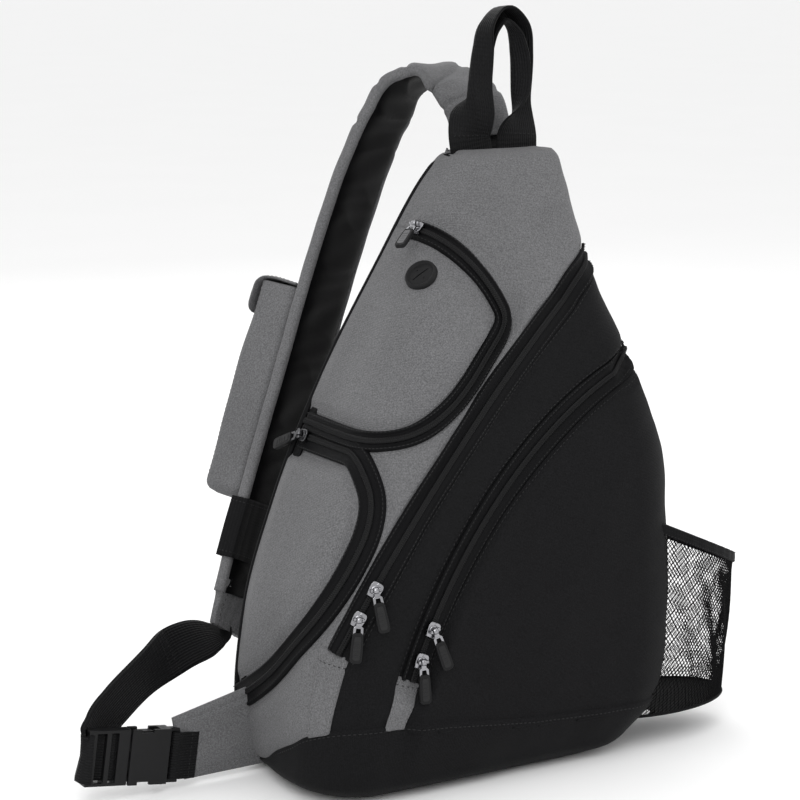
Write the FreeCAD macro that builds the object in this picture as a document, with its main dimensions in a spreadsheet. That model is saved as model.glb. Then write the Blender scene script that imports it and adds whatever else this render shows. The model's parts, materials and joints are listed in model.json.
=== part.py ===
import FreeCAD, Part
import math
import os

# Sling bag: +X right, +Y to the back (the wearer's side), +Z up, millimetres.
# The origin is on the floor, midway across the base.

Vec = FreeCAD.Vector
doc = FreeCAD.newDocument("sling_bag")

# ---------------------------------------------------------------- sizes
SIZES = {
    "body_height": 483, "back_plane": 72, "shell_wall": 3, "boot_height": 46,
    "pocket_bulge": 6, "panel_loft": 3, "tape_wide": 24, "tape_thick": 1.6,
    "coil_wide": 5, "coil_high": 2.4, "web_wide": 38, "web_thick": 2,
    "strap_wide": 68, "strap_foam_thick": 8, "strap_skin": 2,
    "pouch_deep": 38, "pouch_wide": 58, "pouch_wall": 3,
    "board_long": 206, "board_deep": 78, "board_thick": 3,
    "slider_long": 12, "slider_wide": 10, "slider_high": 4.6, "slider_gap": 0.4,
    "lug_high": 4.0, "pin_radius": 1.2, "eye_radius": 2.6, "eye_wide": 3.6,
    "pin_clearance": 0.08, "pull_long": 28, "pull_wide": 8, "pull_thick": 2.4,
    "buckle_wide": 44, "buckle_thick": 13, "female_long": 44, "male_long": 35,
    "buckle_wall": 3, "prong_thick": 6, "port_radius": 13, "port_high": 4,
}

sheet = doc.addObject("Spreadsheet::Sheet", "sizes")
for row, (alias, value) in enumerate(SIZES.items(), start=1):
    sheet.set("A%d" % row, alias)
    sheet.set("B%d" % row, str(value))
    sheet.setAlias("B%d" % row, alias)
doc.recompute()


def size(alias):
    return float(sheet.get(alias))


BACK = size("back_plane")
WALL = size("shell_wall")
NODES = []


def keep(obj, label):
    """Name a finished sub-part and queue it for export."""
    obj.Label = label
    NODES.append(obj)
    return obj


def feature(label, shape):
    """A sub-part whose curved form no primitive gives."""
    obj = doc.addObject("Part::Feature", label)
    obj.Shape = shape
    obj.Placement = FreeCAD.Placement()
    return keep(obj, label)


def primitive(kind, name, sizes, placement=None):
    """A Part primitive with its sizes bound to the sheet."""
    obj = doc.addObject(kind, name)
    for key, expression in sizes.items():
        obj.setExpression(key, expression)
    if placement:
        obj.Placement = placement
    return obj


def at(x, y, z):
    return FreeCAD.Placement(Vec(x, y, z), FreeCAD.Rotation())


# ---------------------------------------------------------------- body outline
# height, left edge, right edge, front face, left and right corner radius
STATIONS = [
    (0, -140, 118, -46, 40, 55),
    (16, -160, 142, -64, 48, 52),
    (60, -166, 161, -72, 52, 46),
    (130, -158, 163, -74, 54, 44),
    (220, -129, 162, -69, 54, 42),
    (310, -87, 149, -46, 48, 38),
    (400, -33, 120, -14, 40, 30),
    (455, 2, 114, 12, 30, 22),
    (483, 26, 112, 30, 18, 12),
]


def outline(station, grow, back):
    """The bag's plan at one height, with the outer edges moved out by grow."""
    z, left, right, front, r_left, r_right = station
    left, right, front = left - grow, right + grow, front - grow
    r_left, r_right = max(r_left + grow, 3), max(r_right + grow, 3)
    k = math.sqrt(0.5)
    p = [
        Vec(left, back, z),
        Vec(left, front + r_left, z),
        Vec(left + r_left, front, z),
        Vec(right - r_right, front, z),
        Vec(right, front + r_right, z),
        Vec(right, back, z),
    ]
    mid_left = Vec(left + r_left * (1 - k), front + r_left * (1 - k), z)
    mid_right = Vec(right - r_right * (1 - k), front + r_right * (1 - k), z)
    edges = [
        Part.makeLine(p[0], p[1]),
        Part.Arc(p[1], mid_left, p[2]).toShape(),
        Part.makeLine(p[2], p[3]),
        Part.Arc(p[3], mid_right, p[4]).toShape(),
        Part.makeLine(p[4], p[5]),
        Part.makeLine(p[5], p[0]),
    ]
    return Part.Wire(edges)


def envelope(grow=0.0, back=BACK, lift=0.0):
    """The bag's outer form, grown or shrunk; lift closes it short of both ends."""
    stations = [list(s) for s in STATIONS]
    stations[0][0] += lift
    stations[-1][0] -= lift
    wires = [outline(s, grow, back) for s in stations]
    return Part.makeLoft(wires, True, True)


# Outlines on the front are drawn in a plane turned a little to the left,
# u across it and z up it, and cut straight through along DEPTH.
TURN = math.radians(31)
ACROSS = Vec(math.cos(TURN), -math.sin(TURN), 0)
DEPTH = Vec(math.sin(TURN), math.cos(TURN), 0)


def drawn(point):
    return point.dot(ACROSS), point.z


def region(points):
    """A prism through the bag with the outline drawn by points (u, z)."""
    corners = [ACROSS * u + Vec(0, 0, z) - DEPTH * 400 for u, z in points]
    face = Part.Face(Part.makePolygon(corners + corners[:1]))
    return face.extrude(DEPTH * 800)


def ribbon(points, half):
    """A strip of even width along points (u, z)."""
    left, right = [], []
    for i, (u, z) in enumerate(points):
        a, b = points[max(i - 1, 0)], points[min(i + 1, len(points) - 1)]
        du, dz = b[0] - a[0], b[1] - a[1]
        length = math.hypot(du, dz)
        nu, nz = -dz / length * half, du / length * half
        left.append((u + nu, z + nz))
        right.append((u - nu, z - nz))
    return region(left + right[::-1])


def slab(x0, x1, y0, y1, z0, z1):
    return Part.makeBox(x1 - x0, y1 - y0, z1 - z0, Vec(x0, y0, z0))


# ---------------------------------------------------------------- zip tracks
class Track:
    """A zip's path: an arc about an axis, with the fabric's normal at its start."""

    def __init__(self, centre, axis, start, normal):
        self.centre, self.axis = Vec(*centre), Vec(*axis).normalize()
        spoke = Vec(*start) - self.centre
        spoke = spoke - self.axis * spoke.dot(self.axis)
        self.radius = spoke.Length
        self.start = self.centre + spoke
        self.along = self.axis.cross(spoke).normalize()
        normal = Vec(*normal)
        self.normal = (normal - self.along * normal.dot(self.along)).normalize()
        self.side = self.along.cross(self.normal)

    def turned(self, vector, degrees):
        return FreeCAD.Rotation(self.axis, degrees).multVec(vector)

    def point(self, degrees):
        return self.centre + self.turned(self.start - self.centre, degrees)

    def frame(self, degrees):
        """Placement whose X runs across the zip, Y along it and Z off the fabric."""
        x, y, z = [self.turned(v, degrees) for v in (self.side, self.along, self.normal)]
        x = y.cross(z)
        rotation = FreeCAD.Rotation(x, y, z, "XYZ")
        return FreeCAD.Placement(self.point(degrees), rotation)

    def sweep(self, half, low, high, first, last):
        """A band of the given half width and height range, from first to last degree."""
        place = self.frame(first)
        corners = [Vec(-half, 0, low), Vec(half, 0, low), Vec(half, 0, high), Vec(-half, 0, high)]
        corners = [place.multVec(c) for c in corners]
        face = Part.Face(Part.makePolygon(corners + corners[:1]))
        return face.revolve(self.centre, self.axis, last - first)


class StraightTrack(Track):
    """A straight zip's path: lengths are in millimetres instead of degrees."""

    def __init__(self, start, along, normal):
        self.start, self.along = Vec(*start), Vec(*along).normalize()
        self.axis = self.along
        self.normal = Vec(*normal).normalize()
        self.side = self.along.cross(self.normal)

    def turned(self, vector, length):
        return vector

    def point(self, length):
        return self.start + self.along * length

    def sweep(self, half, low, high, first, last):
        place = self.frame(first)
        corners = [Vec(-half, 0, low), Vec(half, 0, low), Vec(half, 0, high), Vec(-half, 0, high)]
        corners = [place.multVec(c) for c in corners]
        face = Part.Face(Part.makePolygon(corners + corners[:1]))
        return face.extrude(self.along * (last - first))


# name: track, first and last stop of the tape
TRACKS = {
    "main": (Track((184, 282, -6), (-0.57, 0.708, 0.416), (-120, -66, 172), (-0.42, -0.9, 0.08)), -6.5, 33),
    "pocket": (Track((201, 37, 4), (-0.309, 0.939, 0.15), (-74, -76, 136), (-0.1, -0.97, 0.15)), -7.5, 47),
    "upper": (Track((6.7, 50.1, 354.2), (0.888, 0.216, 0.407), (-21.6, 32.3, 425.4),
                    (-0.64, -0.147, 0.754)), -6, 78),
    "lower": (StraightTrack((-108, 58, 265), (0, -1, 0), (-0.9, 0, 0.42)), -6, 72),
}


def groove(name):
    track, first, last = TRACKS[name]
    return track.sweep(size("tape_wide") / 2, -8, 14, first, last)


def zip_line(name):
    """The tape's band and the coil's band along a track."""
    track, first, last = TRACKS[name]
    thick = size("tape_thick")
    tape = track.sweep(size("tape_wide") / 2, -thick, 0, first, last)
    coil = track.sweep(size("coil_wide") / 2, 0, size("coil_high"), first, last)
    return tape, coil


def line_points(name, count=12):
    track, first, last = TRACKS[name]
    return [drawn(track.point(first + (last - first) * i / count)) for i in range(count + 1)]


# ---------------------------------------------------------------- outlines on the front
BOOT_SEAM = [(-178, 12), (-159, 14), (-123, 50), (-91, 57), (-49, 56), (60, 47), (230, 42)]
UPPER_DOOR = [(-130, 420), (-38, 421), (-14, 410), (8, 394), (20, 376), (23, 362), (18, 341),
              (3, 318), (-14, 301), (-38, 286), (-64, 282), (-94, 282), (-140, 286)]
UPPER_TAPE = [(-38, 426), (-10, 413), (13, 396), (26, 378), (29, 362), (24, 339), (8, 314),
              (-10, 296), (-36, 280), (-64, 276), (-94, 276), (-120, 279)]
LOWER_DOOR = [(-200, 257), (-108, 256), (-92, 249), (-84, 236), (-84, 216), (-95, 186),
              (-113, 157), (-137, 126), (-158, 94), (-200, 64)]
LOWER_TAPE = [(-131, 265), (-102, 265), (-84, 257), (-72, 240), (-72, 216), (-84, 182),
              (-103, 150), (-127, 119), (-150, 84), (-178, 54)]

boot_zone = region([(-260, -20)] + [(-260, 12)] + BOOT_SEAM + [(260, 42), (260, -20)])
main_line = line_points("main")
black_zone = region([(-88, 30)] + main_line + [(91, 385), (101, 402), (300, 402), (300, 20)])
pocket_line = line_points("pocket")
pocket_zone = region([(-50, 30)] + pocket_line + [(300, pocket_line[-1][1]), (300, 20)])

# ---------------------------------------------------------------- shell
full = envelope()
hollow = envelope(-WALL, BACK - 12, WALL)
tray = slab(-400, 400, -400, BACK - 12, -10, 600)
back_zone = slab(-400, 400, BACK - 12, BACK + 20, -10, 600)
main_groove, pocket_groove = groove("main"), groove("pocket")
upper_groove, lower_groove = groove("upper"), groove("lower")

shell = full.common(tray).cut(hollow)
boot = shell.common(boot_zone)
upper_shell = shell.cut(boot_zone)
grey = upper_shell.cut(black_zone).cut(main_groove).cut(upper_groove).cut(lower_groove)
black = upper_shell.common(black_zone).cut(main_groove).cut(pocket_groove)
feature("bottom_boot", boot)
feature("main_panel", grey)
feature("middle_panel", black)

back = full.common(back_zone)
feature("back_panel", back)
pad = envelope(-14, BACK + 7, 26).common(slab(-400, 400, BACK, BACK + 20, 30, 452))
feature("back_pad", pad)
foam = envelope(-WALL - 6, BACK - 12.2, 16).common(slab(-400, 400, BACK - 18, BACK, 0, 600))
feature("back_foam", foam)

raised = envelope(size("pocket_bulge")).cut(envelope(0.3, BACK + 1))
pocket = raised.common(pocket_zone).common(slab(-400, 400, -400, -25, 0, 600))
pocket = pocket.cut(boot_zone).cut(pocket_groove)
feature("front_pocket", pocket)

thin = envelope(size("panel_loft")).cut(envelope(0.0, BACK + 1))
front_left = slab(-400, 60, -400, BACK - 4, 0, 600)
tape_layer = envelope(size("tape_thick")).cut(envelope(0.0, BACK + 1)).common(front_left)
upper_band, lower_band = ribbon(UPPER_TAPE, 6), ribbon(LOWER_TAPE, 11)
upper_door = thin.common(region(UPPER_DOOR)).common(front_left).cut(upper_band).cut(upper_groove)
lower_door = thin.common(region(LOWER_DOOR)).common(front_left).cut(lower_band).cut(lower_groove)
lower_door = lower_door.cut(upper_band)


# ---------------------------------------------------------------- earphone port
def port_frame():
    rotation = FreeCAD.Rotation(Vec(0, 0, 1), Vec(-0.75, -0.61, 0.26))
    return FreeCAD.Placement(Vec(-37.5, -1.5, 392), rotation)


def build_port():
    """Rubber grommet with a slit for the earphone lead."""
    disc = primitive("Part::Cylinder", "port_disc",
                     {"Radius": "sizes.port_radius", "Height": "sizes.port_high"})
    slit = primitive("Part::Box", "port_slit",
                     {"Length": "sizes.port_radius * 1.3", "Height": "sizes.port_high + 2"})
    slit.Width = 1.6
    slit.Placement = FreeCAD.Placement(Vec(-8, -5, -1), FreeCAD.Rotation(Vec(0, 0, 1), 32))
    hole = primitive("Part::Cylinder", "port_hole", {"Height": "sizes.port_high + 2"}, at(0, 6, -1))
    hole.Radius = 1.8
    tools = doc.addObject("Part::MultiFuse", "port_tools")
    tools.Shapes = [slit, hole]
    port = doc.addObject("Part::Cut", "port_cut")
    port.Base, port.Tool = disc, tools
    port.Placement = port_frame()
    doc.recompute()
    return port


port = build_port()
port_hole = Part.makeCylinder(size("port_radius"), 40, Vec(0, 0, -20))
port_hole.Placement = port_frame()
feature("upper_pocket_panel", upper_door.cut(port_hole))
feature("lower_pocket_panel", lower_door)
keep(port, "earphone_port")
for node in NODES:
    if node.Label == "main_panel":
        node.Shape = node.Shape.cut(port_hole)

# ---------------------------------------------------------------- zips
bands = {"upper": upper_band, "lower": lower_band}
TAPES = {}
for name in TRACKS:
    tape, coil = zip_line(name)
    if name in bands:
        rest = tape_layer.common(bands[name]).cut(groove(name))
        tape = Part.makeCompound([tape] + rest.Solids)
    if name == "lower":
        tape = tape.cut(TAPES["upper"]).cut(back_zone)
        coil = coil.cut(back_zone)
    TAPES[name] = tape
    feature(name + "_zip_tape", tape)
    feature(name + "_zip_coil", coil)


def zip_tab(label, name, zone):
    """Fabric tab that closes the lower end of a zip."""
    layer = envelope(size("panel_loft")).cut(envelope(0.4, BACK + 1))
    tab = layer.common(region(zone)).common(slab(-400, 400, -400, 0, 0, 600))
    feature(label, tab.cut(groove(name)).cut(pocket).cut(boot_zone))


zip_tab("main_zip_tab", "main", [(-106, 50), (-108, 104), (-84, 102), (-84, 50)])
zip_tab("pocket_zip_tab", "pocket", [(-67, 50), (-66, 88), (-46, 84), (-48, 50)])


# ---------------------------------------------------------------- sliders and pulls
def build_slider(label, place, hang):
    """A slider that straddles the coil, and its pull on a pin; returns the pin's frame."""
    shell_box = primitive("Part::Box", label + "_shell", {
        "Length": "sizes.slider_wide", "Width": "sizes.slider_long", "Height": "sizes.slider_high - 0.4"})
    shell_box.setExpression("Placement.Base.x", "-sizes.slider_wide / 2")
    shell_box.setExpression("Placement.Base.y", "-sizes.slider_long / 2")
    shell_box.Placement.Base.z = 0.4
    channel = primitive("Part::Box", label + "_channel", {
        "Length": "sizes.coil_wide + 2 * sizes.slider_gap",
        "Width": "sizes.slider_long + 2",
        "Height": "sizes.coil_high + 1 + sizes.slider_gap"})
    channel.setExpression("Placement.Base.x", "-sizes.coil_wide / 2 - sizes.slider_gap")
    channel.setExpression("Placement.Base.y", "-sizes.slider_long / 2 - 1")
    channel.Placement.Base.z = -1
    hollowed = doc.addObject("Part::Cut", label + "_hollowed")
    hollowed.Base, hollowed.Tool = shell_box, channel
    parts = [hollowed]
    for sign in (-1, 1):
        lug = primitive("Part::Box", label + "_lug", {"Height": "sizes.lug_high + 0.2"})
        lug.Length, lug.Width = 1.2, 2.8
        corner = Vec(-0.6 + sign * 2.8, -1.4, size("slider_high") - 0.2)
        lug.Placement = FreeCAD.Placement(corner, FreeCAD.Rotation(Vec(0, 0, 1), hang), -corner)
        parts.append(lug)
    pin = primitive("Part::Cylinder", label + "_pin", {"Radius": "sizes.pin_radius"})
    pin.Height = 6.4
    turned = FreeCAD.Rotation(Vec(0, 0, 1), hang).multiply(FreeCAD.Rotation(Vec(0, 1, 0), 90))
    height = size("slider_high") + size("eye_radius") + 0.25
    pin.Placement = FreeCAD.Placement(Vec(0, 0, height) - turned.multVec(Vec(0, 0, 3.2)), turned)
    parts.append(pin)
    body = doc.addObject("Part::MultiFuse", label + "_body")
    body.Shapes = parts
    body.Placement = place
    keep(body, label)
    lift = FreeCAD.Placement(Vec(0, 0, height), FreeCAD.Rotation(Vec(0, 0, 1), hang))
    return place.multiply(lift)


def build_pull(label, place):
    """The rubber pull: an eye round the slider's pin and a tongue along -Y."""
    eye = primitive("Part::Cylinder", label + "_eye",
                    {"Radius": "sizes.eye_radius", "Height": "sizes.eye_wide"})
    eye.Placement = FreeCAD.Placement(Vec(-size("eye_wide") / 2, 0, 0), FreeCAD.Rotation(Vec(0, 1, 0), 90))
    tongue = primitive("Part::Box", label + "_tongue", {
        "Length": "sizes.pull_wide", "Width": "sizes.pull_long", "Height": "sizes.pull_thick"})
    tongue.setExpression("Placement.Base.x", "-sizes.pull_wide / 2")
    tongue.setExpression("Placement.Base.y", "-sizes.pull_long - sizes.eye_radius - 1.6")
    tongue.setExpression("Placement.Base.z", "-sizes.pull_thick / 2")
    neck = primitive("Part::Box", label + "_neck",
                     {"Length": "sizes.eye_wide", "Height": "sizes.pull_thick"})
    neck.Width = 4
    neck.Placement = at(-size("eye_wide") / 2, -size("eye_radius") - 2.6, -size("pull_thick") / 2)
    solid = doc.addObject("Part::MultiFuse", label + "_solid")
    solid.Shapes = [eye, tongue, neck]
    bore = primitive("Part::Cylinder", label + "_bore",
                     {"Radius": "sizes.pin_radius + sizes.pin_clearance"})
    bore.Height = 10
    bore.Placement = FreeCAD.Placement(Vec(-5, 0, 0), FreeCAD.Rotation(Vec(0, 1, 0), 90))
    pull = doc.addObject("Part::Cut", label + "_cut")
    pull.Base, pull.Tool = solid, bore
    pull.Placement = place
    keep(pull, label)


# slider: track, stop, turn of the pull so that it hangs down, and its lean off the fabric
SLIDERS = {
    "main_slider_a": ("main", 0.0, 42, 0),
    "main_slider_b": ("main", -2.9, 24, 0),
    "pocket_slider_a": ("pocket", 0.0, 44, 0),
    "pocket_slider_b": ("pocket", -4.4, 24, 0),
    "upper_slider": ("upper", 0.0, 110, 14),
    "lower_slider": ("lower", 0.0, 28, 0),
}
PIVOTS = {}
for label, (name, stop, hang, lean) in SLIDERS.items():
    pivot = build_slider(label, TRACKS[name][0].frame(stop), hang)
    leaning = FreeCAD.Placement(Vec(0, 0, 0), FreeCAD.Rotation(Vec(1, 0, 0), -lean))
    build_pull(label.replace("slider", "pull"), pivot.multiply(leaning))
    PIVOTS[label] = pivot

# ---------------------------------------------------------------- base board
def build_board():
    """Stiffener board inside the base, under the lining."""
    body = doc.addObject("PartDesign::Body", "board_body")
    plane = [f for f in body.Origin.OriginFeatures if f.Role == "XY_Plane"][0]
    sketch = body.newObject("Sketcher::SketchObject", "board_outline")
    sketch.AttachmentSupport = (plane, [""])
    sketch.MapMode = "FlatFace"
    long, deep = size("board_long"), size("board_deep")
    corners = [Vec(0, 0, 0), Vec(long, 0, 0), Vec(long, deep, 0), Vec(0, deep, 0)]
    for a, b in zip(corners, corners[1:] + corners[:1]):
        sketch.addGeometry(Part.LineSegment(a, b), False)
    pad_feature = body.newObject("PartDesign::Pad", "board_pad")
    pad_feature.Profile = sketch
    pad_feature.setExpression("Length", "sizes.board_thick")
    body.Placement = at(-113, -32, WALL + 0.2)
    doc.recompute()
    return body


keep(build_board(), "base_board")


# ---------------------------------------------------------------- webbing and padding
def bar_section(centre, across, normal, wide, low, high):
    """A rectangle across a strap, from low to high along its normal."""
    side, rise = across * (wide / 2), normal
    corners = [centre - side + rise * low, centre + side + rise * low,
               centre + side + rise * high, centre - side + rise * high]
    return Part.makePolygon(corners + corners[:1])


def loft(wires):
    band = Part.makeLoft(wires, True, True)
    if band.Volume < 0:
        band.reverse()
    return band


def strip(stops, low, high, shrink=0.0, breaks=()):
    """A band through stops of (centre, across, width); low and high are along its normal.

    A band that turns back on itself is made in lengths that meet at the stops in breaks.
    """
    wires = []
    for i, (centre, across, wide) in enumerate(stops):
        before, after = stops[max(i - 1, 0)][0], stops[min(i + 1, len(stops) - 1)][0]
        along = (after - before).normalize()
        side = (across - along * across.dot(along)).normalize()
        normal = along.cross(side)
        wires.append(bar_section(centre, side, normal, wide - shrink, low, high))
    ends = [0] + list(breaks) + [len(wires) - 1]
    lengths = [loft(wires[a:b + 1]) for a, b in zip(ends, ends[1:])]
    return lengths[0].multiFuse(lengths[1:]) if breaks else lengths[0]


def stops(rows):
    return [(Vec(*centre), Vec(*across), wide) for centre, across, wide in rows]


# shoulder strap, from its root above the back panel down to its tail
STRAP = stops([
    ((73, 87, 489), (1, 0, 0), 52),
    ((72, 98, 516), (1, 0, 0), 56),
    ((65, 118, 533), (0.97, 0.24, 0), 64),
    ((52, 133, 540), (0.93, 0.36, 0), 68),
    ((36, 145, 530), (0.9, 0.43, 0), 68),
    ((18, 150, 503), (0.89, 0.45, 0), 68),
    ((2, 152, 470), (0.89, 0.45, 0), 68),
    ((-20, 150, 420), (0.89, 0.45, 0), 68),
    ((-44.5, 146.5, 358), (0.89, 0.45, 0), 68),
    ((-63.7, 143.5, 306), (0.89, 0.45, 0), 68),
    ((-84.8, 140, 250), (0.89, 0.45, 0), 68),
    ((-106.4, 134.5, 194), (0.89, 0.45, 0), 68),
    ((-121, 129.7, 158), (0.89, 0.45, 0), 66),
    ((-136, 124, 122), (0.89, 0.45, 0), 62),
])

foam_half = size("strap_foam_thick") / 2
skin = size("strap_skin")
strap_foam = strip(STRAP, -foam_half, foam_half, 4, (3,))
strap_lining = strip(STRAP, foam_half + 0.3, foam_half + skin, 0, (3,))
strap_outer = strip(STRAP, -foam_half - skin, -foam_half - 0.3, 0, (3,))
feature("strap_foam", strap_foam)
feature("strap_lining", strap_lining)
feature("strap_outer", strap_outer)

# tail of the strap: the sewn-in end that takes the webbing
TAIL = stops([
    ((-136.6, 123.8, 120.6), (0.89, 0.45, 0), 54),
    ((-150, 118, 100), (0.8, 0.3, -0.4), 40),
])
strap_end = Part.makeCompound([strap_foam, strap_lining, strap_outer])
strap_tail = strip(TAIL, -3.5, 3.5).cut(strap_end)
feature("strap_tail", strap_tail)

# phone pouch on the strap's outer side
POUCH = [STRAP[8], STRAP[9], STRAP[10], STRAP[11]]
pouch_low, pouch_high = -foam_half - skin - size("pouch_deep"), -foam_half - skin - 0.3
pouch_outer = strip(POUCH, pouch_low, pouch_high, 8)
wall = size("pouch_wall")
head = (POUCH[0][0] - POUCH[1][0]).normalize()
inner = [(POUCH[0][0] + head * 2, POUCH[0][1], POUCH[0][2])] + POUCH[1:3]
inner.append((POUCH[3][0] + head * wall, POUCH[3][1], POUCH[3][2]))
pouch_inner = strip(inner, pouch_low + wall, pouch_high - wall, 8 + 2 * wall)
feature("pouch", pouch_outer.cut(pouch_inner))

# the pouch's flap: a lid over its mouth with a lip down its outer face
LID = [(POUCH[0][0] + head * 4.6, POUCH[0][1], POUCH[0][2]),
       (POUCH[0][0] + head * 1.6, POUCH[0][1], POUCH[0][2])]
LIP = [LID[0], (POUCH[0][0] - head * 26, POUCH[0][1], POUCH[0][2])]
lid = strip(LID, pouch_low - 3.4, pouch_high - 4, 7)
lip = strip(LIP, pouch_low - 3.4, pouch_low - 0.6, 7)
feature("pouch_flap", lid.fuse(lip))

# elastic keeper round the strap below the pouch
KEEPER = [(STRAP[12][0] + Vec(9.7, 3.2, 24), STRAP[12][1], 72),
          (STRAP[12][0] + Vec(-0.8, -0.3, -2), STRAP[12][1], 72)]
keeper = strip(KEEPER, -foam_half - skin - 3.2, foam_half + skin + 3.2)
keeper_gap = strip([(KEEPER[0][0] + Vec(5, 1, 16), KEEPER[0][1], 72),
                    (KEEPER[1][0] - Vec(5, 1, 16), KEEPER[1][1], 72)],
                   -foam_half - skin - 1.7, foam_half + skin + 1.7, 2.4)
feature("keeper_band", keeper.cut(keeper_gap))

# webbing from the tail down to the buckle's ladder, where it doubles back
WEB = stops([
    ((-151.5, 117.4, 97.6), (0.35, 0.1, 0.9), 37),
    ((-194, 106, 96), (0.3, 0.1, 0.95), 38),
    ((-231, 92, 86), (0.3, 0.1, 0.95), 38),
    ((-273, 74, 70), (0.25, 0.05, 0.95), 38),
    ((-300, 62, 52), (0.15, 0, 0.98), 38),
])
feature("webbing", strip(WEB, -1, 1).cut(strap_tail))

# carry handle: one length of webbing, folded in half along its grip
HANDLE = stops([
    ((43, 60, 488.6), (1, 0, 0), 38),
    ((48, 60, 512), (1, 0, 0), 34),
    ((55, 60, 540), (0.72, -0.7, 0), 24),
    ((57, 60, 560), (0, -1, 0), 20),
    ((62, 60, 580), (0, -1, 0), 20),
    ((75, 60, 591), (0, -1, 0), 20),
    ((88, 60, 580), (0, -1, 0), 20),
    ((93, 60, 560), (0, -1, 0), 20),
    ((95, 60, 540), (0.72, -0.7, 0), 24),
    ((92, 60, 512), (1, 0, 0), 34),
    ((89, 60, 488.6), (1, 0, 0), 38),
])
feature("handle", strip(HANDLE, -2.2, 2.2, 0, (3, 5, 7)))

anchor = primitive("Part::Box", "anchor_box", {"Width": "sizes.web_thick * 2"})
anchor.Length, anchor.Height = 54, 26
anchor.Placement = at(46, BACK, 455)
keep(anchor, "strap_anchor")

# ---------------------------------------------------------------- wing and buckle
BUCKLE = FreeCAD.Placement(Vec(-226, 54, 26), FreeCAD.Rotation(Vec(0, 0, 1), 180).multiply(
    FreeCAD.Rotation(Vec(0, 1, 0), -8)))


def buckle_box(name, x0, x1, half_wide, half_thick, shift=0.0):
    """A block in the buckle's own frame: X out of the wing, Z across, Y through."""
    box = doc.addObject("Part::Box", name)
    box.Length, box.Width, box.Height = x1 - x0, 2 * half_thick, 2 * half_wide
    box.Placement = at(x0, -half_thick, shift - half_wide)
    return box


def buckle_part(label, solids, cuts):
    """Fuse the solids, take the cuts away and set the piece in the buckle's frame."""
    fused = doc.addObject("Part::MultiFuse", label + "_fused")
    fused.Shapes = solids
    if not cuts:
        fused.Placement = BUCKLE
        return keep(fused, label)
    tool = cuts[0]
    if len(cuts) > 1:
        tool = doc.addObject("Part::MultiFuse", label + "_tools")
        tool.Shapes = cuts
    piece = doc.addObject("Part::Cut", label + "_cut")
    piece.Base, piece.Tool = fused, tool
    piece.Placement = BUCKLE
    return keep(piece, label)


wide, thick = size("buckle_wide") / 2, size("buckle_thick") / 2
f_long, m_long = size("female_long"), size("male_long")
buckle_part(
    "buckle_female",
    [buckle_box("female_end", 11, 20, wide, thick),
     buckle_box("female_rail_a", 0, 14, 1.6, 2.6, wide - 1.6),
     buckle_box("female_rail_b", 0, 14, 1.6, 2.6, 1.6 - wide),
     buckle_box("female_bar", 0, 6, wide - 2, 2.6),
     buckle_box("female_body", 18, f_long, wide, thick)],
    [buckle_box("female_cavity", 20, f_long + 1, wide + 1, thick - size("buckle_wall")),
     buckle_box("female_thumb_a", 26, 36, 4, thick + 1, wide + 1.5),
     buckle_box("female_thumb_b", 26, 36, 4, thick + 1, -wide - 1.5)],
)
web_half = size("web_wide") / 2
buckle_part(
    "wing_webbing",
    [buckle_box("loop_outer", -2, 8.6, web_half, 5), buckle_box("loop_tail", -28, -1, web_half, 2.1)],
    [buckle_box("loop_inner", -0.6, 6.6, web_half + 1, 3.0)],
)
m0 = f_long + 0.6
buckle_part(
    "buckle_male",
    [buckle_box("male_block", m0, m0 + m_long, wide, 5), buckle_box("male_tongue", 24, m0 + 1, 4, 3)],
    [buckle_box("male_slot_a", m0 + 10, m0 + 16, web_half + 0.6, 6),
     buckle_box("male_slot_b", m0 + 20, m0 + 28, web_half + 0.6, 6)],
)
prong_half = size("prong_thick") / 2
for label, sign in (("prong_upper", 1), ("prong_lower", -1)):
    arm = buckle_box(label + "_arm", 26, m0 - 0.4, 2.5, prong_half, sign * 15.5)
    head_block = buckle_box(label + "_head", 25, 36, 3.2, prong_half, sign * 17)
    buckle_part(label, [arm, head_block], [])

# triangular wing sewn into the lower left back seam
doc.recompute()
wing_corners = [Vec(-150, 50, 66), Vec(-232, 50, 56), Vec(-222, 50, 4), Vec(-140, 50, 6)]
wing = Part.Face(Part.makePolygon(wing_corners + wing_corners[:1])).extrude(Vec(0, 8, 0))
tail_gap = Part.makeBox(32, 4.2, 38, Vec(-30, -2.1, -19))
tail_gap.Placement = BUCKLE
loop_gap = Part.makeBox(14, 12, 40, Vec(-3, -6, -20))
loop_gap.Placement = BUCKLE
rail_gap = Part.makeBox(46, 16, 48, Vec(-1, -8, -24))
rail_gap.Placement = BUCKLE
wing = wing.cut(envelope(0.2)).cut(TAPES["lower"])
feature("wing", wing.cut(tail_gap).cut(loop_gap).cut(rail_gap))


# ---------------------------------------------------------------- mesh bottle pocket
def oval(z, half_x, half_y, centre_x=166, centre_y=-20):
    """An oval plan; its long axis is along X."""
    curve = Part.Ellipse(Vec(centre_x, centre_y, z), half_x, half_y)
    return Part.Wire([curve.toShape()])


def tub(grow, z0, z1):
    """The bottle pocket's form between two heights, its walls moved out by grow."""
    def half(z):
        share = (z - 26) / 164.0
        return 76 + 12 * share + grow, 44 + 6 * share + grow
    return Part.makeLoft([oval(z, *half(z)) for z in (z0, z1)], True, True)


def hem_plane(drop):
    """Everything above the pocket's slanting mouth, lowered by drop."""
    corners = [Vec(60, -150, 228 - drop), Vec(320, -150, 112 - drop), Vec(320, -150, 400),
               Vec(60, -150, 400)]
    return Part.Face(Part.makePolygon(corners + corners[:1])).extrude(Vec(0, 300, 0))


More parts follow.
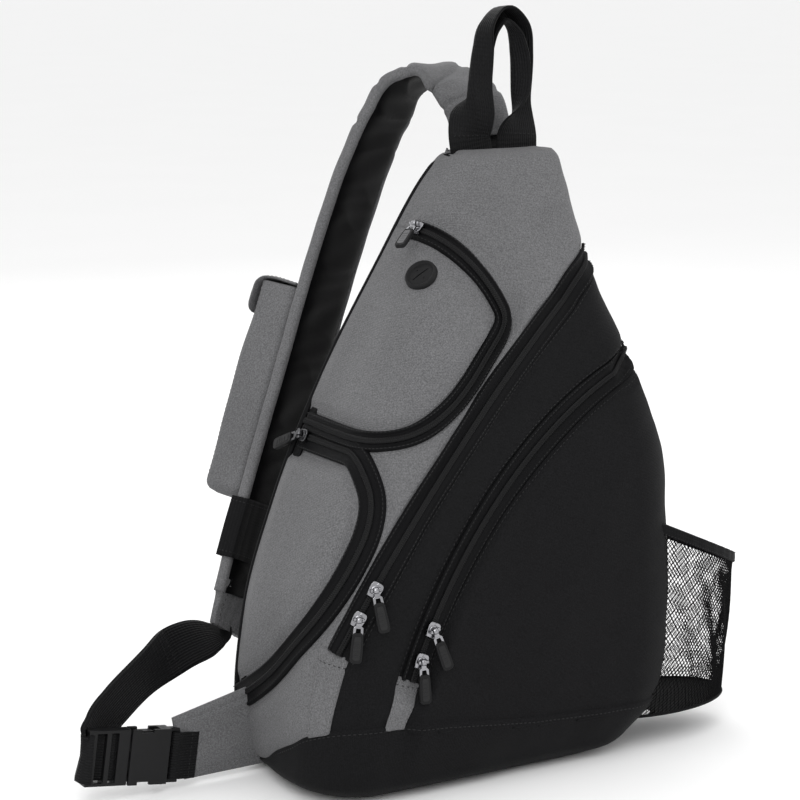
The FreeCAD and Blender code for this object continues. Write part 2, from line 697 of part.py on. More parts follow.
clear_of_bag = envelope(size("pocket_bulge") + 0.3, BACK + 1)
net = tub(0, 26, 210).cut(tub(-2, 28, 210)).cut(hem_plane(9)).cut(clear_of_bag)
hem = tub(0.8, 26, 210).cut(tub(-2.8, 20, 212)).cut(hem_plane(0)).common(hem_plane(9)).cut(clear_of_bag)


def right_part(shape):
    solids = sorted(shape.Solids, key=lambda s: s.BoundBox.XMax)
    return solids[-1]


feature("mesh_pocket", right_part(net))
feature("mesh_hem", right_part(hem))

# ---------------------------------------------------------------- check and export
doc.recompute()
os.makedirs("parts", exist_ok=True)
for obj in doc.Objects:
    if "Invalid" in obj.State or "Error" in obj.State:
        raise RuntimeError("bad object " + obj.Label)
for obj in NODES:
    if obj.Shape.isNull() or not obj.Shape.isValid() or not obj.Shape.Solids:
        raise RuntimeError("bad shape " + obj.Label)
    obj.Shape.exportStep("parts/" + obj.Label + ".step")
    box = obj.Shape.optimalBoundingBox(True, False)
    print("%-20s solids %d  x %.0f..%.0f  y %.0f..%.0f  z %.0f..%.0f  cm3 %.1f" % (
        obj.Label, len(obj.Shape.Solids), box.XMin, box.XMax, box.YMin, box.YMax, box.ZMin, box.ZMax,
        obj.Shape.Volume / 1000))
for label, pivot in PIVOTS.items():
    base, axis = pivot.Base, pivot.Rotation.multVec(Vec(1, 0, 0))
    down = pivot.Rotation.multVec(Vec(0, -1, 0))
    print("pivot", label, "at", tuple(round(v, 2) for v in base), "axis", tuple(round(v, 4) for v in axis),
          "hangs", tuple(round(v, 2) for v in down))
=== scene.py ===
import json
import math

import bmesh
import bpy
import numpy as np
from mathutils import Matrix, Vector

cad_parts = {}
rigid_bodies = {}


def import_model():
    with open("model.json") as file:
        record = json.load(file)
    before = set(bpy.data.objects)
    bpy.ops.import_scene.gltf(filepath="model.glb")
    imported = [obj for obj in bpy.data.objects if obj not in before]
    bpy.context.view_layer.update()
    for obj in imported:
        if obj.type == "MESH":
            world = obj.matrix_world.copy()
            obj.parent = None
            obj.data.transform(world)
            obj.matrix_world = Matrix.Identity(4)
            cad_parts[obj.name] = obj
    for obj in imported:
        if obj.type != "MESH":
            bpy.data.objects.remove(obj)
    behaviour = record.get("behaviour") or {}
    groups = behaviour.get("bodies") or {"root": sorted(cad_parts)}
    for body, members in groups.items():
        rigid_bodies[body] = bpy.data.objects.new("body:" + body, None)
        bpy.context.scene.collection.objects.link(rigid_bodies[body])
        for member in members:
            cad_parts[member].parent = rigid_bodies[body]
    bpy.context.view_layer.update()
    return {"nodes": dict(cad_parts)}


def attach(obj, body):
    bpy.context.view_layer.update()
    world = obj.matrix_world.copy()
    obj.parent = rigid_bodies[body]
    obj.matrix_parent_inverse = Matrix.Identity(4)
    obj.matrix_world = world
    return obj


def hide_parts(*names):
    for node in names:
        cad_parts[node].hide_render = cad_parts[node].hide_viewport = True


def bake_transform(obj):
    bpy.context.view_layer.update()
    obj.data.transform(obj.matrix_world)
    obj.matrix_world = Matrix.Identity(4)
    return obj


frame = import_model()
scene = bpy.context.scene
rng = np.random.default_rng(11)

# Lengths below are in millimetres, and put() turns them into metres.
MM = 0.001

# ------------------------------------------------------------------ materials


def nodes_of(name):
    mat = bpy.data.materials.new(name)
    mat.use_nodes = True
    tree = mat.node_tree
    shader = tree.nodes["Principled BSDF"]
    return mat, tree, shader


def link(tree, a, b):
    tree.links.new(a, b)


def node(tree, kind, **values):
    n = tree.nodes.new(kind)
    for key, value in values.items():
        if key in n.inputs:
            n.inputs[key].default_value = value
        else:
            setattr(n, key, value)
    return n


def ramp(tree, source, stops):
    r = tree.nodes.new("ShaderNodeValToRGB")
    r.color_ramp.elements[0].position, r.color_ramp.elements[0].color = stops[0][0], (*stops[0][1], 1)
    r.color_ramp.elements[1].position, r.color_ramp.elements[1].color = stops[-1][0], (*stops[-1][1], 1)
    for place, colour in stops[1:-1]:
        r.color_ramp.elements.new(place).color = (*colour, 1)
    link(tree, source, r.inputs["Fac"])
    return r.outputs["Color"]


def mix(tree, kind, fac, a, b):
    m = tree.nodes.new("ShaderNodeMix")
    m.data_type, m.blend_type = "RGBA", kind
    m.inputs["Factor"].default_value = fac
    for socket, value in ((m.inputs[6], a), (m.inputs[7], b)):
        if isinstance(value, bpy.types.NodeSocket):
            link(tree, value, socket)
        else:
            socket.default_value = (*value, 1)
    return m.outputs[2]


def maths(tree, operation, a, b=0.0):
    m = node(tree, "ShaderNodeMath", operation=operation)
    for socket, value in ((m.inputs[0], a), (m.inputs[1], b)):
        if isinstance(value, bpy.types.NodeSocket):
            link(tree, value, socket)
        else:
            socket.default_value = value
    return m.outputs[0]


def bands(tree, coords, direction, pitch):
    """Threads side by side, pitch in metres."""
    wave = node(tree, "ShaderNodeTexWave", wave_type="BANDS", bands_direction=direction,
                Scale=1.0 / pitch / 3.1831, Distortion=0.0)
    link(tree, coords, wave.inputs["Vector"])
    return wave.outputs["Fac"]


def cloth(name, colour, pitch=0.0011, spread=0.22, rough=0.85, bump=0.35, sheen=0.25, rib=0.0, specular=0.3,
          loose=False):
    """Woven fabric; UVs are metres along the cloth, and loose cloth has none and uses its place in space."""
    mat, tree, shader = nodes_of(name)
    coords = node(tree, "ShaderNodeTexCoord")
    place = coords.outputs["Object"]
    if loose:
        weave = maths(tree, "MULTIPLY", bands(tree, place, "X", pitch), bands(tree, place, "Z", pitch))
    else:
        uv = node(tree, "ShaderNodeUVMap", uv_map="cloth").outputs["UV"]
        if rib:
            ribs = maths(tree, "MULTIPLY", bands(tree, uv, "Y", rib), 0.8)
            picks = maths(tree, "MULTIPLY", bands(tree, uv, "X", rib * 1.7), 0.35)
            weave = maths(tree, "ADD", ribs, picks)
        else:
            weave = maths(tree, "MULTIPLY", bands(tree, uv, "X", pitch), bands(tree, uv, "Y", pitch))
    fine = node(tree, "ShaderNodeTexNoise", Scale=900.0, Detail=2.0)
    broad = node(tree, "ShaderNodeTexNoise", Scale=14.0, Detail=3.0)
    link(tree, place, fine.inputs["Vector"])
    link(tree, place, broad.inputs["Vector"])
    dark = tuple(c * (1 - spread) for c in colour)
    light = tuple(min(c * (1 + spread), 1) for c in colour)
    threads = ramp(tree, fine.outputs["Fac"], [(0.3, dark), (0.7, light)])
    tone = ramp(tree, broad.outputs["Fac"], [(0.3, (0.9, 0.9, 0.9)), (0.7, (1.06, 1.06, 1.06))])
    base = mix(tree, "MULTIPLY", 1.0, threads, tone)
    shade = ramp(tree, weave, [(0.0, (0.82, 0.82, 0.82)), (0.6, (1.08, 1.08, 1.08))])
    link(tree, mix(tree, "MULTIPLY", 1.0, base, shade), shader.inputs["Base Color"])
    height = maths(tree, "ADD", weave, maths(tree, "MULTIPLY", fine.outputs["Fac"], 0.6))
    dent = node(tree, "ShaderNodeBump", Strength=bump, Distance=0.0006)
    link(tree, height, dent.inputs["Height"])
    link(tree, dent.outputs["Normal"], shader.inputs["Normal"])
    rough_map = ramp(tree, broad.outputs["Fac"], [(0.2, (rough - 0.06,) * 3), (0.8, (rough + 0.06,) * 3)])
    link(tree, rough_map, shader.inputs["Roughness"])
    shader.inputs["Sheen Weight"].default_value = sheen
    shader.inputs["Sheen Roughness"].default_value = 0.4
    shader.inputs["Specular IOR Level"].default_value = specular
    return mat


def solid(name, colour, rough=0.4, metallic=0.0, grain=220.0, depth=0.12, spread=0.12, specular=0.5):
    """Moulded plastic, rubber or plated metal with a fine uneven surface and rubbed patches."""
    mat, tree, shader = nodes_of(name)
    coords = node(tree, "ShaderNodeTexCoord")
    fine = node(tree, "ShaderNodeTexNoise", Scale=grain * 8, Detail=3.0)
    broad = node(tree, "ShaderNodeTexNoise", Scale=grain, Detail=4.0)
    for n in (fine, broad):
        link(tree, coords.outputs["Object"], n.inputs["Vector"])
    dark = tuple(c * (1 - spread) for c in colour)
    light = tuple(min(c * (1 + spread), 1) for c in colour)
    link(tree, ramp(tree, broad.outputs["Fac"], [(0.3, dark), (0.7, light)]), shader.inputs["Base Color"])
    link(tree, ramp(tree, broad.outputs["Fac"], [(0.25, (rough * 0.8,) * 3),
                                                 (0.75, (min(rough * 1.25, 1),) * 3)]),
         shader.inputs["Roughness"])
    dent = node(tree, "ShaderNodeBump", Strength=depth, Distance=0.0003)
    link(tree, fine.outputs["Fac"], dent.inputs["Height"])
    link(tree, dent.outputs["Normal"], shader.inputs["Normal"])
    shader.inputs["Metallic"].default_value = metallic
    shader.inputs["Specular IOR Level"].default_value = specular
    return mat


GREY = cloth("grey_polyester", (0.128, 0.128, 0.132), spread=0.3, sheen=0.08, specular=0.15)
BLACK = cloth("black_polyester", (0.0058, 0.0058, 0.0064), spread=0.45, sheen=0.02, rough=0.72, specular=0.09)
LINING = cloth("black_lining", (0.0018, 0.0018, 0.0021), pitch=0.0007, spread=0.3, rough=0.55, sheen=0.0,
               bump=0.2,
               specular=0.05)
MESH = cloth("black_spacer_mesh", (0.0065, 0.0065, 0.007), pitch=0.003, bump=1.0, spread=0.45, sheen=0.02,
             specular=0.09, loose=True)
NET = cloth("black_net", (0.004, 0.004, 0.0045), pitch=0.0008, rough=0.6, sheen=0.0, specular=0.07)
WEBBING = cloth("black_webbing", (0.0045, 0.0045, 0.005), rib=0.0021, bump=0.8, rough=0.6, sheen=0.015,
                spread=0.4,
                specular=0.11)
BINDING = cloth("black_binding", (0.0045, 0.0045, 0.005), rib=0.0014, bump=0.5, rough=0.7, sheen=0.015,
                specular=0.09)
TAPE = cloth("zip_tape", (0.0035, 0.0035, 0.004), pitch=0.0009, rough=0.65, sheen=0.01, specular=0.09)
COIL = solid("zip_coil", (0.0048, 0.0048, 0.0052), rough=0.38, specular=0.13)
THREAD_GREY = solid("thread_grey", (0.165, 0.165, 0.17), rough=0.7, specular=0.2)
THREAD_BLACK = solid("thread_black", (0.012, 0.012, 0.0125), rough=0.6, specular=0.25)
CHROME = solid("nickel_plate", (0.30, 0.30, 0.315), rough=0.2, metallic=1.0, depth=0.05, spread=0.06)
DARK_METAL = solid("dark_plate", (0.10, 0.10, 0.105), rough=0.3, metallic=1.0, depth=0.05)
RUBBER = solid("soft_rubber", (0.007, 0.007, 0.0075), rough=0.5, depth=0.25, specular=0.16)
# Painted highlight: a lighter rubber for the lower pulls' raised inset and ribs, standing in for the
# highlight on the glossy tongue.
RUBBER_PAINTED_HIGHLIGHT = solid("soft_rubber_painted_highlight", (0.014, 0.014, 0.0145), rough=0.6, depth=0.25, specular=0.2)
RUBBER_GREY = solid("soft_rubber_grey", (0.10, 0.10, 0.103), rough=0.62, depth=0.25, specular=0.3)
PLASTIC = solid("buckle_plastic", (0.006, 0.006, 0.0065), rough=0.4, depth=0.2, specular=0.2)
BOARD = solid("board_plastic", (0.03, 0.03, 0.03), rough=0.55, depth=0.3, specular=0.3)
FLOOR = solid("floor_paint", (0.93, 0.93, 0.93), rough=0.85, grain=3.0, depth=0.02, spread=0.004,
              specular=0.05)

# ------------------------------------------------------------------ meshes


def put(name, points, faces, material, uv=None, smooth=True):
    """A mesh from points in millimetres; uv is one pair per point, in metres of cloth."""
    mesh = bpy.data.meshes.new(name)
    mesh.from_pydata([tuple(p) for p in np.asarray(points) * MM], [],
                     [tuple(int(i) for i in f) for f in faces])
    mesh.update()
    if uv is not None:
        layer = mesh.uv_layers.new(name="cloth")
        index = np.zeros(len(mesh.loops), dtype=int)
        mesh.loops.foreach_get("vertex_index", index)
        layer.data.foreach_set("uv", np.asarray(uv, dtype=np.float32)[index].ravel())
    mesh.polygons.foreach_set("use_smooth", [smooth] * len(mesh.polygons))
    obj = bpy.data.objects.new(name, mesh)
    scene.collection.objects.link(obj)
    mesh.materials.append(material)
    return obj


def points_of(obj):
    co = np.zeros(len(obj.data.vertices) * 3)
    obj.data.vertices.foreach_get("co", co)
    return co.reshape(-1, 3) * 1000


def set_points(obj, points):
    obj.data.vertices.foreach_set("co", (np.asarray(points) * MM).ravel())
    obj.data.update()


def grid_faces(rows, cols, wrap=False, flip=False):
    faces = []
    for i in range(rows - 1):
        for j in range(cols if wrap else cols - 1):
            k = (j + 1) % cols
            quad = (i * cols + j, i * cols + k, (i + 1) * cols + k, (i + 1) * cols + j)
            faces.append(quad[::-1] if flip else quad)
    return faces


def run_of(points):
    """How far along a line each of its points lies."""
    return np.r_[0, np.cumsum(np.linalg.norm(np.diff(points, axis=0), axis=1))]


def pair_grid(a, b):
    """Two arrays broadcast together as pairs, such as a grid's UVs."""
    return np.stack(np.broadcast_arrays(a, b), -1)


def thicken(obj, thick):
    """Gives a sheet its thickness, behind the surface."""
    mod = obj.modifiers.new("thickness", "SOLIDIFY")
    mod.thickness, mod.offset = thick * MM, -1.0


def end_faces(name, grid, material, smooth=True):
    """Faces that close the first and last rings of a tube of points."""
    ring = tuple(range(grid.shape[1]))
    return [put(name, grid[0], [ring], material, smooth=smooth),
            put(name, grid[-1], [ring[::-1]], material, smooth=smooth)]


def sheet_of(name, grid, material, uv=None, thick=0.0, flip=False, wrap=False):
    """A grid of points (rows, cols, 3) as a sheet, with thickness inwards."""
    rows, cols = grid.shape[:2]
    obj = put(name, grid.reshape(-1, 3), grid_faces(rows, cols, wrap, flip), material,
              None if uv is None else uv.reshape(-1, 2))
    if thick:
        thicken(obj, thick)
    return obj


def join(name, objs):
    """Several objects as one, with their modifiers applied and materials kept."""
    bm = bmesh.new()
    mats = []
    for o in objs:
        graph = bpy.context.evaluated_depsgraph_get()
        mesh = bpy.data.meshes.new_from_object(o.evaluated_get(graph), depsgraph=graph)
        mesh.transform(o.matrix_world)
        remap = []
        for m in (mesh.materials or [None]):
            if m not in mats:
                mats.append(m)
            remap.append(mats.index(m))
        slots = np.zeros(len(mesh.polygons), dtype=np.int32)
        mesh.polygons.foreach_get("material_index", slots)
        mesh.polygons.foreach_set("material_index", np.array(remap, dtype=np.int32)[slots])
        if not mesh.uv_layers:
            mesh.uv_layers.new(name="cloth")
        mesh.uv_layers[0].name = "cloth"
        bm.from_mesh(mesh)
        bpy.data.meshes.remove(mesh)
    out = bpy.data.meshes.new(name)
    bm.to_mesh(out)
    bm.free()
    for m in mats:
        out.materials.append(m)
    for o in objs:
        bpy.data.objects.remove(o)
    obj = bpy.data.objects.new(name, out)
    scene.collection.objects.link(obj)
    return obj


def finish_piece(obj, body, nodes=()):
    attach(obj, body)
    if nodes:
        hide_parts(*nodes)
    return obj


# ------------------------------------------------------------------ the bag's surface
BACK = 72.0
HEIGHT = 483.0
BACK_GAP = 1.2  # left open at the right back seam
# height, left edge, right edge, front face, left and right corner radius
STATIONS = np.array([
    (0, -140, 118, -46, 40, 55),
    (16, -160, 142, -64, 48, 52),
    (60, -166, 161, -72, 52, 46),
    (130, -158, 163, -74, 54, 44),
    (220, -129, 162, -69, 54, 42),
    (310, -87, 149, -46, 48, 38),
    (400, -33, 120, -14, 40, 30),
    (455, 2, 114, 12, 30, 22),
    (483, 26, 112, 30, 18, 12),
], dtype=float)
TURN = math.radians(31)
ACROSS = np.array([math.cos(TURN), -math.sin(TURN), 0])


def smooth_curve(x, y, at):
    """A smooth curve through points that does not overshoot them."""
    x, y, at = np.asarray(x, float), np.asarray(y, float), np.asarray(at, float)
    step = np.diff(x)
    slope = np.diff(y) / step
    lean = np.zeros_like(y)
    lean[0], lean[-1] = slope[0], slope[-1]
    same = slope[:-1] * slope[1:] > 0
    harmonic = 2 * slope[:-1] * slope[1:] / np.where(same, slope[:-1] + slope[1:], 1)
    lean[1:-1] = np.where(same, harmonic, 0)
    i = np.clip(np.searchsorted(x, at) - 1, 0, len(step) - 1)
    f = np.clip((at - x[i]) / step[i], 0, 1)
    h00, h10 = 2 * f**3 - 3 * f**2 + 1, f**3 - 2 * f**2 + f
    h01, h11 = -2 * f**3 + 3 * f**2, f**3 - f**2
    return h00 * y[i] + h10 * step[i] * lean[i] + h01 * y[i + 1] + h11 * step[i] * lean[i + 1]


ROWS = np.arange(0, HEIGHT + 0.5, 1.0)
EDGES = np.stack([smooth_curve(STATIONS[:, 0], STATIONS[:, k], ROWS) for k in range(1, 6)], 1)
COLS = 640


def section(row):
    """The plan outline at one height, from the left back seam round the front."""
    left, right, front, r_left, r_right = row
    turn = np.linspace(0, math.pi / 2, 24)
    parts = [
        np.stack([np.full(12, left), np.linspace(BACK, front + r_left, 12)], 1),
        np.stack([left + r_left * (1 - np.cos(turn)), front + r_left * (1 - np.sin(turn))], 1)[1:],
        np.stack([np.linspace(left + r_left, right - r_right, 12), np.full(12, front)], 1)[1:],
        np.stack([right - r_right * (1 - np.sin(turn)), front + r_right * (1 - np.cos(turn))], 1)[1:],
        np.stack([np.full(12, right), np.linspace(front + r_right, BACK, 12)], 1)[1:],
    ]
    return np.concatenate(parts)


SURFACE = np.zeros((len(ROWS), COLS, 3))
LENGTH = np.zeros(len(ROWS))
for k, row in enumerate(EDGES):
    line = section(row)
    run = run_of(line)
    LENGTH[k] = run[-1]
    span = np.arange(COLS, dtype=float)
    SURFACE[k, :, 0] = np.interp(span, run, line[:, 0])
    SURFACE[k, :, 1] = np.interp(span, run, line[:, 1])
    SURFACE[k, :, 2] = ROWS[k]
VIEW_U = SURFACE @ ACROSS


def base(s, z):
    """Points on the bag s millimetres round from the left back seam, at height z."""
    s, z = np.broadcast_arrays(np.asarray(s, float), np.asarray(z, float))
    a, b = np.clip(z, 0, HEIGHT - 0.001), np.clip(s, 0, COLS - 1.001)
    i, j = a.astype(int), b.astype(int)
    fz, fs = (a - i)[..., None], (b - j)[..., None]
    low = SURFACE[i, j] * (1 - fs) + SURFACE[i, j + 1] * fs
    high = SURFACE[i + 1, j] * (1 - fs) + SURFACE[i + 1, j + 1] * fs
    return low * (1 - fz) + high * fz


def length_at(z):
    return np.interp(z, ROWS, LENGTH)


def normal_at(s, z):
    """Outward unit normals of the bag's surface."""
    ds = base(np.asarray(s) + 3, z) - base(np.asarray(s) - 3, z)
    dz = base(s, np.asarray(z) + 4) - base(s, np.asarray(z) - 4)
    n = np.cross(ds, dz)
    return n / np.maximum(np.linalg.norm(n, axis=-1, keepdims=True), 1e-9)


def skin(s, z, h):
    """Points at height h off the bag's surface."""
    return base(s, z) + normal_at(s, z) * np.asarray(h, float)[..., None]


def s_of(u, z):
    """How far round the surface a point of the front drawing lies."""
    u, z = np.atleast_1d(np.asarray(u, float)), np.atleast_1d(np.asarray(z, float))
    out = np.zeros_like(u)
    for k, (a, b) in enumerate(zip(u, z)):
        row = VIEW_U[int(round(min(max(b, 0), HEIGHT)))]
        peak = int(np.argmax(row))
        out[k] = np.interp(a, row[:peak + 1], np.arange(peak + 1))
    return out


def resample(points, step, closed=False):
    """Points along a smooth line through points, about step apart."""
    p = np.asarray(points, float)
    if closed:
        p = np.concatenate([p[-3:], p, p[:4]])
    run = run_of(p)
    lo, hi = (run[3], run[-4]) if closed else (0, run[-1])
    count = max(int((hi - lo) / step), 4)
    at = np.linspace(lo, hi, count, endpoint=not closed)
    out = []
    for k in range(p.shape[1]):
        y = p[:, k]
        lean = np.gradient(y, run)
        i = np.clip(np.searchsorted(run, at, side="right") - 1, 0, len(run) - 2)
        h = run[i + 1] - run[i]
        f = (at - run[i]) / h
        out.append((2 * f**3 - 3 * f**2 + 1) * y[i] + (f**3 - 2 * f**2 + f) * h * lean[i]
                   + (-2 * f**3 + 3 * f**2) * y[i + 1] + (f**3 - f**2) * h * lean[i + 1])
    return np.stack(out, 1)


def on_bag(points_uz, step=3.0, closed=False):
    """A line of the front drawing as (s, z) pairs on the surface."""
    line = resample(points_uz, step, closed)
    return np.stack([s_of(line[:, 0], line[:, 1]), line[:, 1]], 1)


def distance(s, z, line):
    """How far (s, z) points lie from a line of (s, z) points, in millimetres."""
    p = np.stack([np.ravel(s), np.ravel(z)], 1)
    best = np.full(len(p), 1e9)
    for a, b in zip(line[:-1], line[1:]):
        d = b - a
        t = np.clip(((p - a) @ d) / max(d @ d, 1e-9), 0, 1)
        best = np.minimum(best, np.hypot(*(p - a - t[:, None] * d).T))
    return best.reshape(np.shape(s))


WAVES = [(rng.uniform(-1, 1, 2), rng.uniform(0, 6.28)) for _ in range(24)]


def crumple(s, z, scale, seed=0):
    """Gentle uneven waves of about unit height; scale is their size in millimetres."""
    total = np.zeros(np.shape(s))
    for k in range(6):
        (a, b), phase = WAVES[(seed * 5 + k) % len(WAVES)]
        norm = math.hypot(a, b) + 1e-6
        freq = (0.7 + 0.25 * k) / scale
        total = total + np.sin((s * a + z * b) / norm * freq * 6.28 + phase) / (1 + 0.35 * k)
    return total / 2.4


def strand(name, line, radius, material, sides=8, closed=False):
    """A round cord along points in millimetres."""
    p = np.asarray(line, float)
    ring = []
    along = np.gradient(p, axis=0)
    if closed:
        along = np.roll(p, -1, 0) - np.roll(p, 1, 0)
    along /= np.linalg.norm(along, axis=1, keepdims=True)
    up = np.array([0.3, -0.8, 0.52])
    for c, t in zip(p, along):
        a = np.cross(t, up)
        a /= np.linalg.norm(a)
        b = np.cross(t, a)
        ring.append([c + radius * (math.cos(w) * a + math.sin(w) * b)
                     for w in np.arange(sides) * 2 * math.pi / sides])
    grid = np.array(ring)
    run = run_of(p) * MM
    uv = pair_grid(run[:, None], np.linspace(0, 0.006, sides)[None])
    if closed:
        grid = np.concatenate([grid, grid[:1]])
        uv = np.concatenate([uv, uv[:1]])
    return sheet_of(name, grid, material, uv, wrap=True)


def frames_along(points, normals):
    """Unit tangents, normals and sides for a line with rough normals."""
    p = np.asarray(points, float)
    t = np.gradient(p, axis=0)
    t /= np.linalg.norm(t, axis=1, keepdims=True)
    n = np.asarray(normals, float)
    n = n - t * np.sum(n * t, 1, keepdims=True)
    n /= np.linalg.norm(n, axis=1, keepdims=True)
    return t, n, np.cross(t, n)


def profile_band(name, points, normals, profile, material, wave=None):
    """A band with a cross-section of (across, height) pairs, swept along points."""
    p = np.asarray(points, float)
    _, n, side = frames_along(p, normals)
    prof = np.asarray(profile, float)
    across = np.repeat(prof[None, :, 0], len(p), 0)
    rise = np.repeat(prof[None, :, 1], len(p), 0)
    if wave is not None:
        rise = rise + wave(np.arange(len(p))[:, None] + 0 * rise, across)
    grid = p[:, None] + side[:, None] * across[..., None] + n[:, None] * rise[..., None]
    run = run_of(p) * MM
    girth = run_of(prof) * MM
    uv = pair_grid(run[:, None], girth[None])
    return sheet_of(name, grid, material, uv)


def stitches(name, points, normals, material, pitch=4.2, long=2.8, wide=0.75, rise=0.25, offset=0.0):
    """A row of thread stitches along a line."""
    p = resample(points, pitch)
    src = np.asarray(points, float)
    nearest = [int(np.argmin(np.linalg.norm(src - q, axis=1))) for q in p]
    t, n, side = frames_along(p, np.asarray(normals, float)[nearest])
    p = p + side * offset + n * rise
    pts, faces = [], []
    shape = [(-0.5, 0, -0.3), (-0.3, -0.5, 0.1), (0.3, -0.5, 0.1), (0.5, 0, -0.3), (0.3, 0.5, 0.1),
             (-0.3, 0.5, 0.1), (-0.25, 0, 0.6), (0.25, 0, 0.6)]
    quads = [(0, 1, 6), (1, 2, 7, 6), (2, 3, 7), (3, 4, 7), (4, 5, 6, 7), (5, 0, 6)]
    for c, a, b, d in zip(p, t, side, n):
        k = len(pts)
        pts += [c + a * x * long + b * y * wide + d * h * wide for x, y, h in shape]
        faces += [tuple(k + i for i in q) for q in quads]
    return put(name, pts, faces, material)

# ------------------------------------------------------------------ zip tracks


class Track:
    """A zip's path, an arc about an axis, as the CAD model has it."""

    def __init__(self, centre, axis, start, normal):
        self.centre, self.axis = Vector(centre), Vector(axis).normalized()
        spoke = Vector(start) - self.centre
        spoke = spoke - self.axis * spoke.dot(self.axis)
        self.start = self.centre + spoke
        self.along = self.axis.cross(spoke).normalized()
        normal = Vector(normal)
        self.normal = (normal - self.along * normal.dot(self.along)).normalized()
        self.side = self.along.cross(self.normal)

    def turn(self, stop):
        return Matrix.Rotation(math.radians(stop), 3, self.axis)

    def at(self, stop):
        """Point, side, along and normal at a stop in degrees."""
        m = self.turn(stop)
        return self.centre + m @ (self.start - self.centre), m @ self.side, m @ self.along, m @ self.normal

    def line(self, first, last, count):
        rows = [self.at(first + (last - first) * k / (count - 1)) for k in range(count)]
        return np.array([r[0] for r in rows]), np.array([r[3] for r in rows])


class StraightTrack(Track):
    """A straight path; its stops are millimetres."""

    def __init__(self, start, along, normal):
        self.start = Vector(start)
        self.along, self.normal = Vector(along).normalized(), Vector(normal).normalized()
        self.side = self.along.cross(self.normal)

    def at(self, stop):
        return self.start + self.along * stop, self.side, self.along, self.normal


TRACKS = {
    "main": (Track((184, 282, -6), (-0.57, 0.708, 0.416), (-120, -66, 172), (-0.42, -0.9, 0.08)), -6.5, 33),
    "pocket": (Track((201, 37, 4), (-0.309, 0.939, 0.15), (-74, -76, 136), (-0.1, -0.97, 0.15)), -7.5, 47),
    "upper": (Track((6.7, 50.1, 354.2), (0.888, 0.216, 0.407), (-21.6, 32.3, 425.4), (-0.64, -0.147, 0.754)),
              -6, 78),
    "lower": (StraightTrack((-108, 58, 265), (0, -1, 0), (-0.9, 0, 0.42)), -6, 72),
}
BOOT_SEAM = [(-178, 6), (-159, 12), (-146, 30), (-133, 44), (-122, 55), (-103, 63), (-65, 66),
             (-20, 62), (60, 52), (230, 46)]
UPPER_TAPE = [(-37, 425), (-10, 414), (8, 399), (23, 379), (28, 365), (23, 343), (7, 317),
              (-12, 297), (-36, 282), (-64, 276), (-95, 275), (-123, 276)]
LOWER_TAPE = [(-118, 266), (-103, 265), (-83, 257), (-71, 242), (-71, 221), (-83, 191),
              (-101, 161), (-125, 127), (-149, 91), (-179, 56)]


def locate(points):
    """The (s, z) on the surface nearest to points in space, and their height off it."""
    p = np.asarray(points, float)
    z = np.clip(p[:, 2], 1, HEIGHT - 1)
    s = np.zeros(len(p))
    for k, q in enumerate(p):
        row = SURFACE[int(round(z[k]))]
        s[k] = np.argmin(np.hypot(row[:, 0] - q[0], row[:, 1] - q[1]))
    for _ in range(12):
        b = base(s, z)
        ds = (base(s + 2, z) - base(s - 2, z)) / 4
        dz = (base(s, z + 2) - base(s, z - 2)) / 4
        gap = p - b
        s = np.clip(s + 0.7 * np.sum(gap * ds, 1) / np.maximum(np.sum(ds * ds, 1), 0.1), 0, length_at(z))
        z = np.clip(z + 0.7 * np.sum(gap * dz, 1) / np.maximum(np.sum(dz * dz, 1), 0.1), 1, HEIGHT - 1)
    off = np.sum((p - base(s, z)) * normal_at(s, z), 1)
    return np.stack([s, z], 1), off


class ZipPath:
    """Centre line of a zip in space: its track, then a drawn run over the surface."""

    def __init__(self, name, half, drawn=(), reach=0, ease=0):
        track, first, last = TRACKS[name]
        self.name, self.half, self.track, self.ease = name, half, track, ease
        points, normals = track.line(first, last, 90)
        flat, off = locate(points)
        if drawn:
            tail = on_bag(drawn, 4.0)
            start = int(np.argmin(np.hypot(*(tail - flat[-1]).T))) + reach
            tail = tail[start:]
            lift = off[-1] + (0.8 - off[-1]) * step_up(np.linspace(0.2, 3.0, len(tail)))
            points = np.concatenate([points, skin(tail[:, 0], tail[:, 1], lift)])
            normals = np.concatenate([normals, normal_at(tail[:, 0], tail[:, 1])])
            flat = np.concatenate([flat, tail])
            off = np.concatenate([off, lift])
        even = resample(np.concatenate([points, normals, flat, off[:, None]], 1), 2.0)
        if drawn:
            even = self.rounded(even)
            even = even[(even[:, 6] > 4) | (np.arange(len(even)) < 20)]
        self.points, self.normals, self.flat, self.off = even[:, :3], even[:, 3:6], even[:, 6:8], even[:, 8]

    def rounded(self, rows):
        """The line with its bends past the track eased."""
        last = np.array(self.track.at(TRACKS[self.name][2])[0])
        start = int(np.argmin(np.linalg.norm(rows[:, :3] - last, axis=1)))
        hold = step_up((np.arange(len(rows)) - start + self.ease) / 12)[1:-1, None]
        for _ in range(90):
            rows[1:-1] += hold * 0.5 * ((rows[:-2] + rows[2:]) / 2 - rows[1:-1])
        return rows


def step_up(x):
    x = np.clip(x, 0, 1)
    return x * x * (3 - 2 * x)


def resample_by(rows, step):
    """Even spacing by the first three columns, with straight runs between rows."""
    run = run_of(rows[:, :3])
    at = np.linspace(0, run[-1], int(run[-1] / step))
    return np.stack([np.interp(at, run, rows[:, k]) for k in range(rows.shape[1])], 1)


MAIN_RUN = [(62, 345), (77, 366), (91, 385), (103, 401)]
POCKET_RUN = [(118, 310), (131, 319), (141, 326)]
ZIPS = {
    "main": ZipPath("main", 10.5, MAIN_RUN, 3),
    "pocket": ZipPath("pocket", 10.0, POCKET_RUN, 3),
    "upper": ZipPath("upper", 7.5, UPPER_TAPE, 6, 10),
    "lower": ZipPath("lower", 10.5, LOWER_TAPE, 5, 6),
}
main_flat, pocket_flat = ZIPS["main"].flat, ZIPS["pocket"].flat
upper_flat, lower_flat = ZIPS["upper"].flat, ZIPS["lower"].flat

